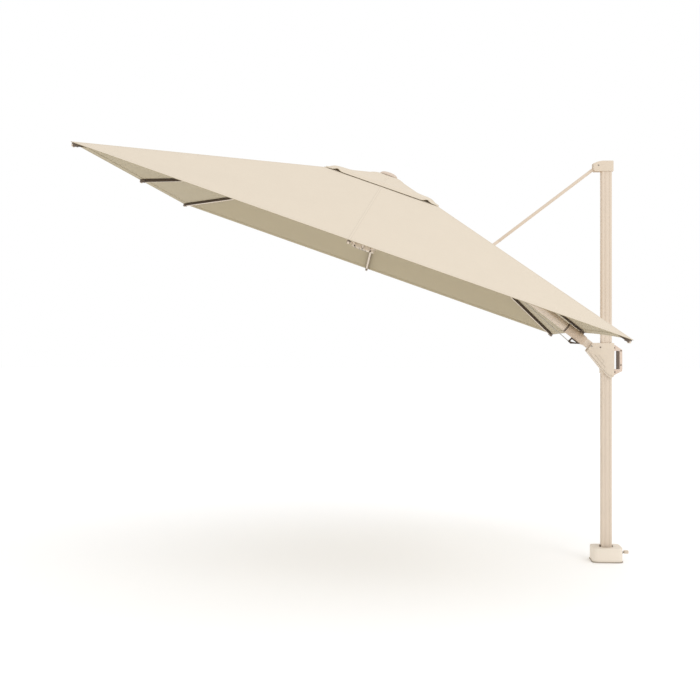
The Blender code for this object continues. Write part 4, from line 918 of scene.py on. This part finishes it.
def cord_tube(name, points, radius):
    """A smooth cord through its points, as a mesh."""
    line = bpy.data.curves.new(name, "CURVE")
    line.dimensions = "3D"
    line.bevel_depth = radius
    line.bevel_resolution = 3
    line.use_fill_caps = True
    spline = line.splines.new("POLY")
    spline.points.add(len(points) - 1)
    for point, place in zip(spline.points, points):
        point.co = (*place, 1)
    obj = bpy.data.objects.new(name, line)
    bpy.context.scene.collection.objects.link(obj)
    only(obj)
    bpy.ops.object.convert(target="MESH")
    return smooth(bpy.context.object, 50)


def box_middle(node):
    low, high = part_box(node)
    return (Vector(low) + Vector(high)) / 2


class PARASOL_OT_cords(bpy.types.Operator):
    """Cords: the pull cord under the arm, and the hoist cord that lifts the runner"""
    bl_idname = "parasol.cords"
    bl_label = "Cords"

    def execute(self, context):
        low, high = (Vector(p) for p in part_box("pull_cord"))
        back = ARM.inverted()
        start = back @ Vector((high.x, 0, low.z))
        end = back @ Vector((low.x, 0, high.z))
        start += (start - end).normalized() * CLEAT_REACH
        points = []
        for i in range(PULL_CORD_STEPS + 1):
            t = i / PULL_CORD_STEPS
            spot = start.lerp(end, t)
            spot.x -= PULL_CORD_R * (1 - 2 * t)
            points.append(ARM @ Vector((spot.x, 0, spot.z)))
        cord = cord_tube("pull_cord_braid", points, PULL_CORD_R)
        dressed(cord, "pull_cord_braid", "braided polyester", "arm", "grey_braid", "pull_cord")
        low, high = (Vector(p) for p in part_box("hoist_cord"))
        top = CANOPY.inverted() @ high
        foot = CANOPY.inverted() @ low
        run = [CANOPY @ Vector((0, 0, foot.z + (top.z - foot.z) * i / 60)) for i in range(61)]
        hoist = cord_tube("hoist_cord_braid", run, HOIST_CORD_R)
        dressed(hoist, "hoist_cord_braid", "braided polyester", None, "grey_braid", "hoist_cord")
        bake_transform(hoist, "arm", "runner", run[-1], run[0])
        return {"FINISHED"}


# ---- mast ---------------------------------------------------------------------------------------
class PARASOL_OT_mast(bpy.types.Operator):
    """Mast: the grooved tube, the spigot it turns on and the moulded cap on its head"""
    bl_idname = "parasol.mast"
    bl_label = "Mast"

    def execute(self, context):
        machined("mast_tube", "powder-coated aluminium", "sand_powder_coat", 0)
        # two dark blocks either side of the mast's foot: painted shade in the socket's recess
        foot_shade_blocks = []
        for side in SIDES:
            near, far = sorted((side * 0.0338, side * 0.0395))
            foot_shade_blocks.append(rounded_block((near, -0.010, 0.0800), (far, 0.010, 0.0985), 0.0012, 2))
        dressed(joined(foot_shade_blocks), "mast_foot_shade_blocks", "dark acetal and painted shade", "mast", "dark_acetal")
        machined("mast_spigot", "zinc-plated steel", "zinc_plated_steel", 0)
        machined("top_cap", "moulded nylon", "pale_nylon", 0.0025, 4)
        return {"FINISHED"}


class PARASOL_OT_socket(bpy.types.Operator):
    """Socket: the cast box the mast turns in, its plate, its bush and the pedal that locks it"""
    bl_idname = "parasol.socket"
    bl_label = "Socket and pedal"

    def execute(self, context):
        # the socket's lighter coat is painted light
        machined("base_socket", "powder-coated cast iron", "sand_cast_iron", 0.0015, 3)
        machined("base_plate", "powder-coated plate", "dark_acetal", 0.0008)
        machined("swivel_bush", "dark acetal and painted shade", "dark_acetal", 0.0006)
        machined("pedal_lever", "zinc-plated steel", "zinc_plated_steel", 0.0008)
        machined("pedal_pad", "moulded nylon", "pale_nylon", 0.0015, 3)
        machined("pedal_pin", "zinc-plated steel", "zinc_plated_steel", 0.0004)
        return {"FINISHED"}


# ---- handle -------------------------------------------------------------------------------------
CASING_HALF = 0.040
GRIP_HALF = 0.015
GRIP_BOLTS = [(0.146, -0.010), (0.187, -0.028), (0.186, -0.118), (0.148, -0.1620)]
# dark lines on each flank of the casing that paint the shade of its seams and grooves and a shadow line, from
# the arm's pivot: both ends' x and z, and the width
CASING_LINES = [
    ((0.018, -0.051), (0.086, -0.132), 0.0055), ((0.043, -0.054), (0.080, -0.101), 0.0040),
    ((0.0025, 0.0165), (-0.0265, -0.0255), 0.0050), ((-0.020, -0.034), (0.064, -0.137), 0.0035),
    ((0.064, -0.137), (0.106, -0.1815), 0.0055), ((0.106, -0.1815), (0.128, -0.1870), 0.0050),
]
LINE_PROUD = 0.0014


def painted_shade_line(first, last, side, wide, proud):
    """A dark strip standing proud on a flank of the casing, a line of painted shade."""
    first, last = Vector((first[0], side, first[1])), Vector((last[0], side, last[1]))
    place = HANDLE @ axes_at(first, last - first, (last - first).cross(Vector((0, 1, 0))))
    far = ((last - first).length, proud, wide / 2)
    return rounded_block((0, -proud, -wide / 2), far, proud * 0.6, 1, place)


class PARASOL_OT_handle(bpy.types.Operator):
    """Handle: the two-part casing that slides on the mast, its grip frame, trigger and screws"""
    bl_idname = "parasol.handle"
    bl_label = "Handle"

    def execute(self, context):
        for node in ("handle_front", "handle_back"):
            machined(node, "moulded nylon", "pale_nylon", 0.0016, 3)
        machined("slide_liner", "moulded nylon", "pale_nylon", 0.0004)
        machined("knuckle_pin", "zinc-plated steel", "zinc_plated_steel", 0.0006)
        machined("grip_frame", "powder-coated grip", "sand_powder_coat", 0.0030, 4)
        # the trigger is drawn in the dark material as painted shade, for the grip's shadow it sits in
        machined("trigger", "dark acetal and painted shade", "dark_acetal", 0.0015, 3)
        bolts = []
        for side in SIDES:
            bolts.append((HANDLE @ Vector((0.055, side * CASING_HALF, -0.006)), (0, side, 0)))
            for x, z in GRIP_BOLTS:
                bolts.append((HANDLE @ Vector((x, side * GRIP_HALF, z)), (0, side, 0)))
        screws("handle_bolts", "handle", bolts, 0.0048, 0.0018, "dark acetal and painted shade", "dark_acetal")
        # dark strips on both flanks paint the shade of the casing's grooves and seams and a shadow line
        marks = []
        for side in SIDES:
            for first, last, wide in CASING_LINES:
                marks.append(painted_shade_line(first, last, side * CASING_HALF, wide, LINE_PROUD))
        dressed(joined(marks), "casing_shade_lines", "dark acetal and painted shade", "handle", "dark_acetal")
        # dark blocks either side of the trigger fill the gap beside it: painted shade
        low, high = (Vector(p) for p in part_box("trigger"))
        gap_shade_blocks = []
        for side in SIDES:
            near, far = sorted((side * 0.0100, side * 0.0130))
            foot = (low.x + 0.001, near, low.z + 0.007)
            gap_shade_blocks.append(rounded_block(foot, (high.x + 0.0085, far, high.z - 0.007), 0.0010, 2))
        dressed(joined(gap_shade_blocks), "trigger_gap_shade", "dark acetal and painted shade", "handle", "dark_acetal")
        return {"FINISHED"}


# ---- stage --------------------------------------------------------------------------------------
SENSOR_MM, LENS_MM, LENS_SHIFT = 36.0, 58.61, -0.038
CAMERA_AT, CAMERA_TURN = (-1.284, -7.224, 1.489), 2.58


def soft_light(name, place, target, size, power):
    light = bpy.data.lights.new(name, "AREA")
    light.shape = "SQUARE"
    light.size = size
    light.energy = power
    obj = bpy.data.objects.new(name, light)
    bpy.context.scene.collection.objects.link(obj)
    obj.location = place
    obj.rotation_euler = (Vector(target) - Vector(place)).to_track_quat("-Z", "Y").to_euler()
    return obj


class PARASOL_OT_stage(bpy.types.Operator):
    """Stage: a pale floor, soft studio light and the camera"""
    bl_idname = "parasol.stage"
    bl_label = "Floor, light and camera"

    def execute(self, context):
        deselect()
        bpy.ops.mesh.primitive_plane_add(size=60, location=(0, 0, -0.0005))
        floor = bpy.context.object
        floor.name = "studio_floor"
        paper, tree, shader = new_material("studio paper", linear("#FFFFFF"), {"Roughness": 0.9})
        shader.inputs["Base Color"].default_value = (0.99, 0.99, 0.99, 1)
        shader.inputs["Specular IOR Level"].default_value = 0.0
        shader.inputs["Emission Color"].default_value = (1, 1, 1, 1)
        shader.inputs["Emission Strength"].default_value = 0.12
        floor.data.materials.append(paper)
        world = bpy.data.worlds.new("studio")
        world.use_nodes = True
        world.node_tree.nodes["Background"].inputs["Color"].default_value = (1, 1, 1, 1)
        world.node_tree.nodes["Background"].inputs["Strength"].default_value = 1.0
        context.scene.world = world
        context.scene.view_settings.view_transform = "Standard"
        soft_light("key", (4.0, -5.0, 6.5), (-0.8, 0, 1.6), 3.0, 85)
        lens = bpy.data.cameras.new("camera")
        lens.sensor_width, lens.lens, lens.shift_y = SENSOR_MM, LENS_MM, LENS_SHIFT
        lens.clip_end = 200
        camera = bpy.data.objects.new("camera", lens)
        context.scene.collection.objects.link(camera)
        camera.location = CAMERA_AT
        camera.rotation_euler = (math.radians(90), 0, math.radians(CAMERA_TURN))
        context.scene.camera = camera
        return {"FINISHED"}


OPERATORS = [
    PARASOL_OT_stage, PARASOL_OT_canopy, PARASOL_OT_vent, PARASOL_OT_ribs, PARASOL_OT_crown, PARASOL_OT_arm,
    PARASOL_OT_strut, PARASOL_OT_cords, PARASOL_OT_mast, PARASOL_OT_socket, PARASOL_OT_handle,
]


class PARASOL_PT_panel(bpy.types.Panel):
    """The parasol's pieces, each a button"""
    bl_idname = "PARASOL_PT_panel"
    bl_label = "Cantilever parasol"
    bl_space_type = "VIEW_3D"
    bl_region_type = "UI"
    bl_category = "Parasol"

    def draw(self, context):
        for group in (context.scene.parasol_sizes, context.scene.parasol_colours):
            column = self.layout.column(align=True)
            for name in group.bl_rna.properties.keys():
                if name not in ("rna_type", "name"):
                    column.prop(group, name)
        for operator in OPERATORS:
            self.layout.operator(operator.bl_idname)


CLASSES = [ParasolSizes, ParasolColours, *OPERATORS, PARASOL_PT_panel]


def register():
    for made in CLASSES:
        bpy.utils.register_class(made)
    bpy.types.Scene.parasol_sizes = bpy.props.PointerProperty(type=ParasolSizes)
    bpy.types.Scene.parasol_colours = bpy.props.PointerProperty(type=ParasolColours)


def unregister():
    del bpy.types.Scene.parasol_colours
    del bpy.types.Scene.parasol_sizes
    for made in reversed(CLASSES):
        bpy.utils.unregister_class(made)


def main():
    register()
    for operator in OPERATORS:
        group, name = operator.bl_idname.split(".")
        getattr(getattr(bpy.ops, group), name)()


if __name__ == "__main__":
    main()
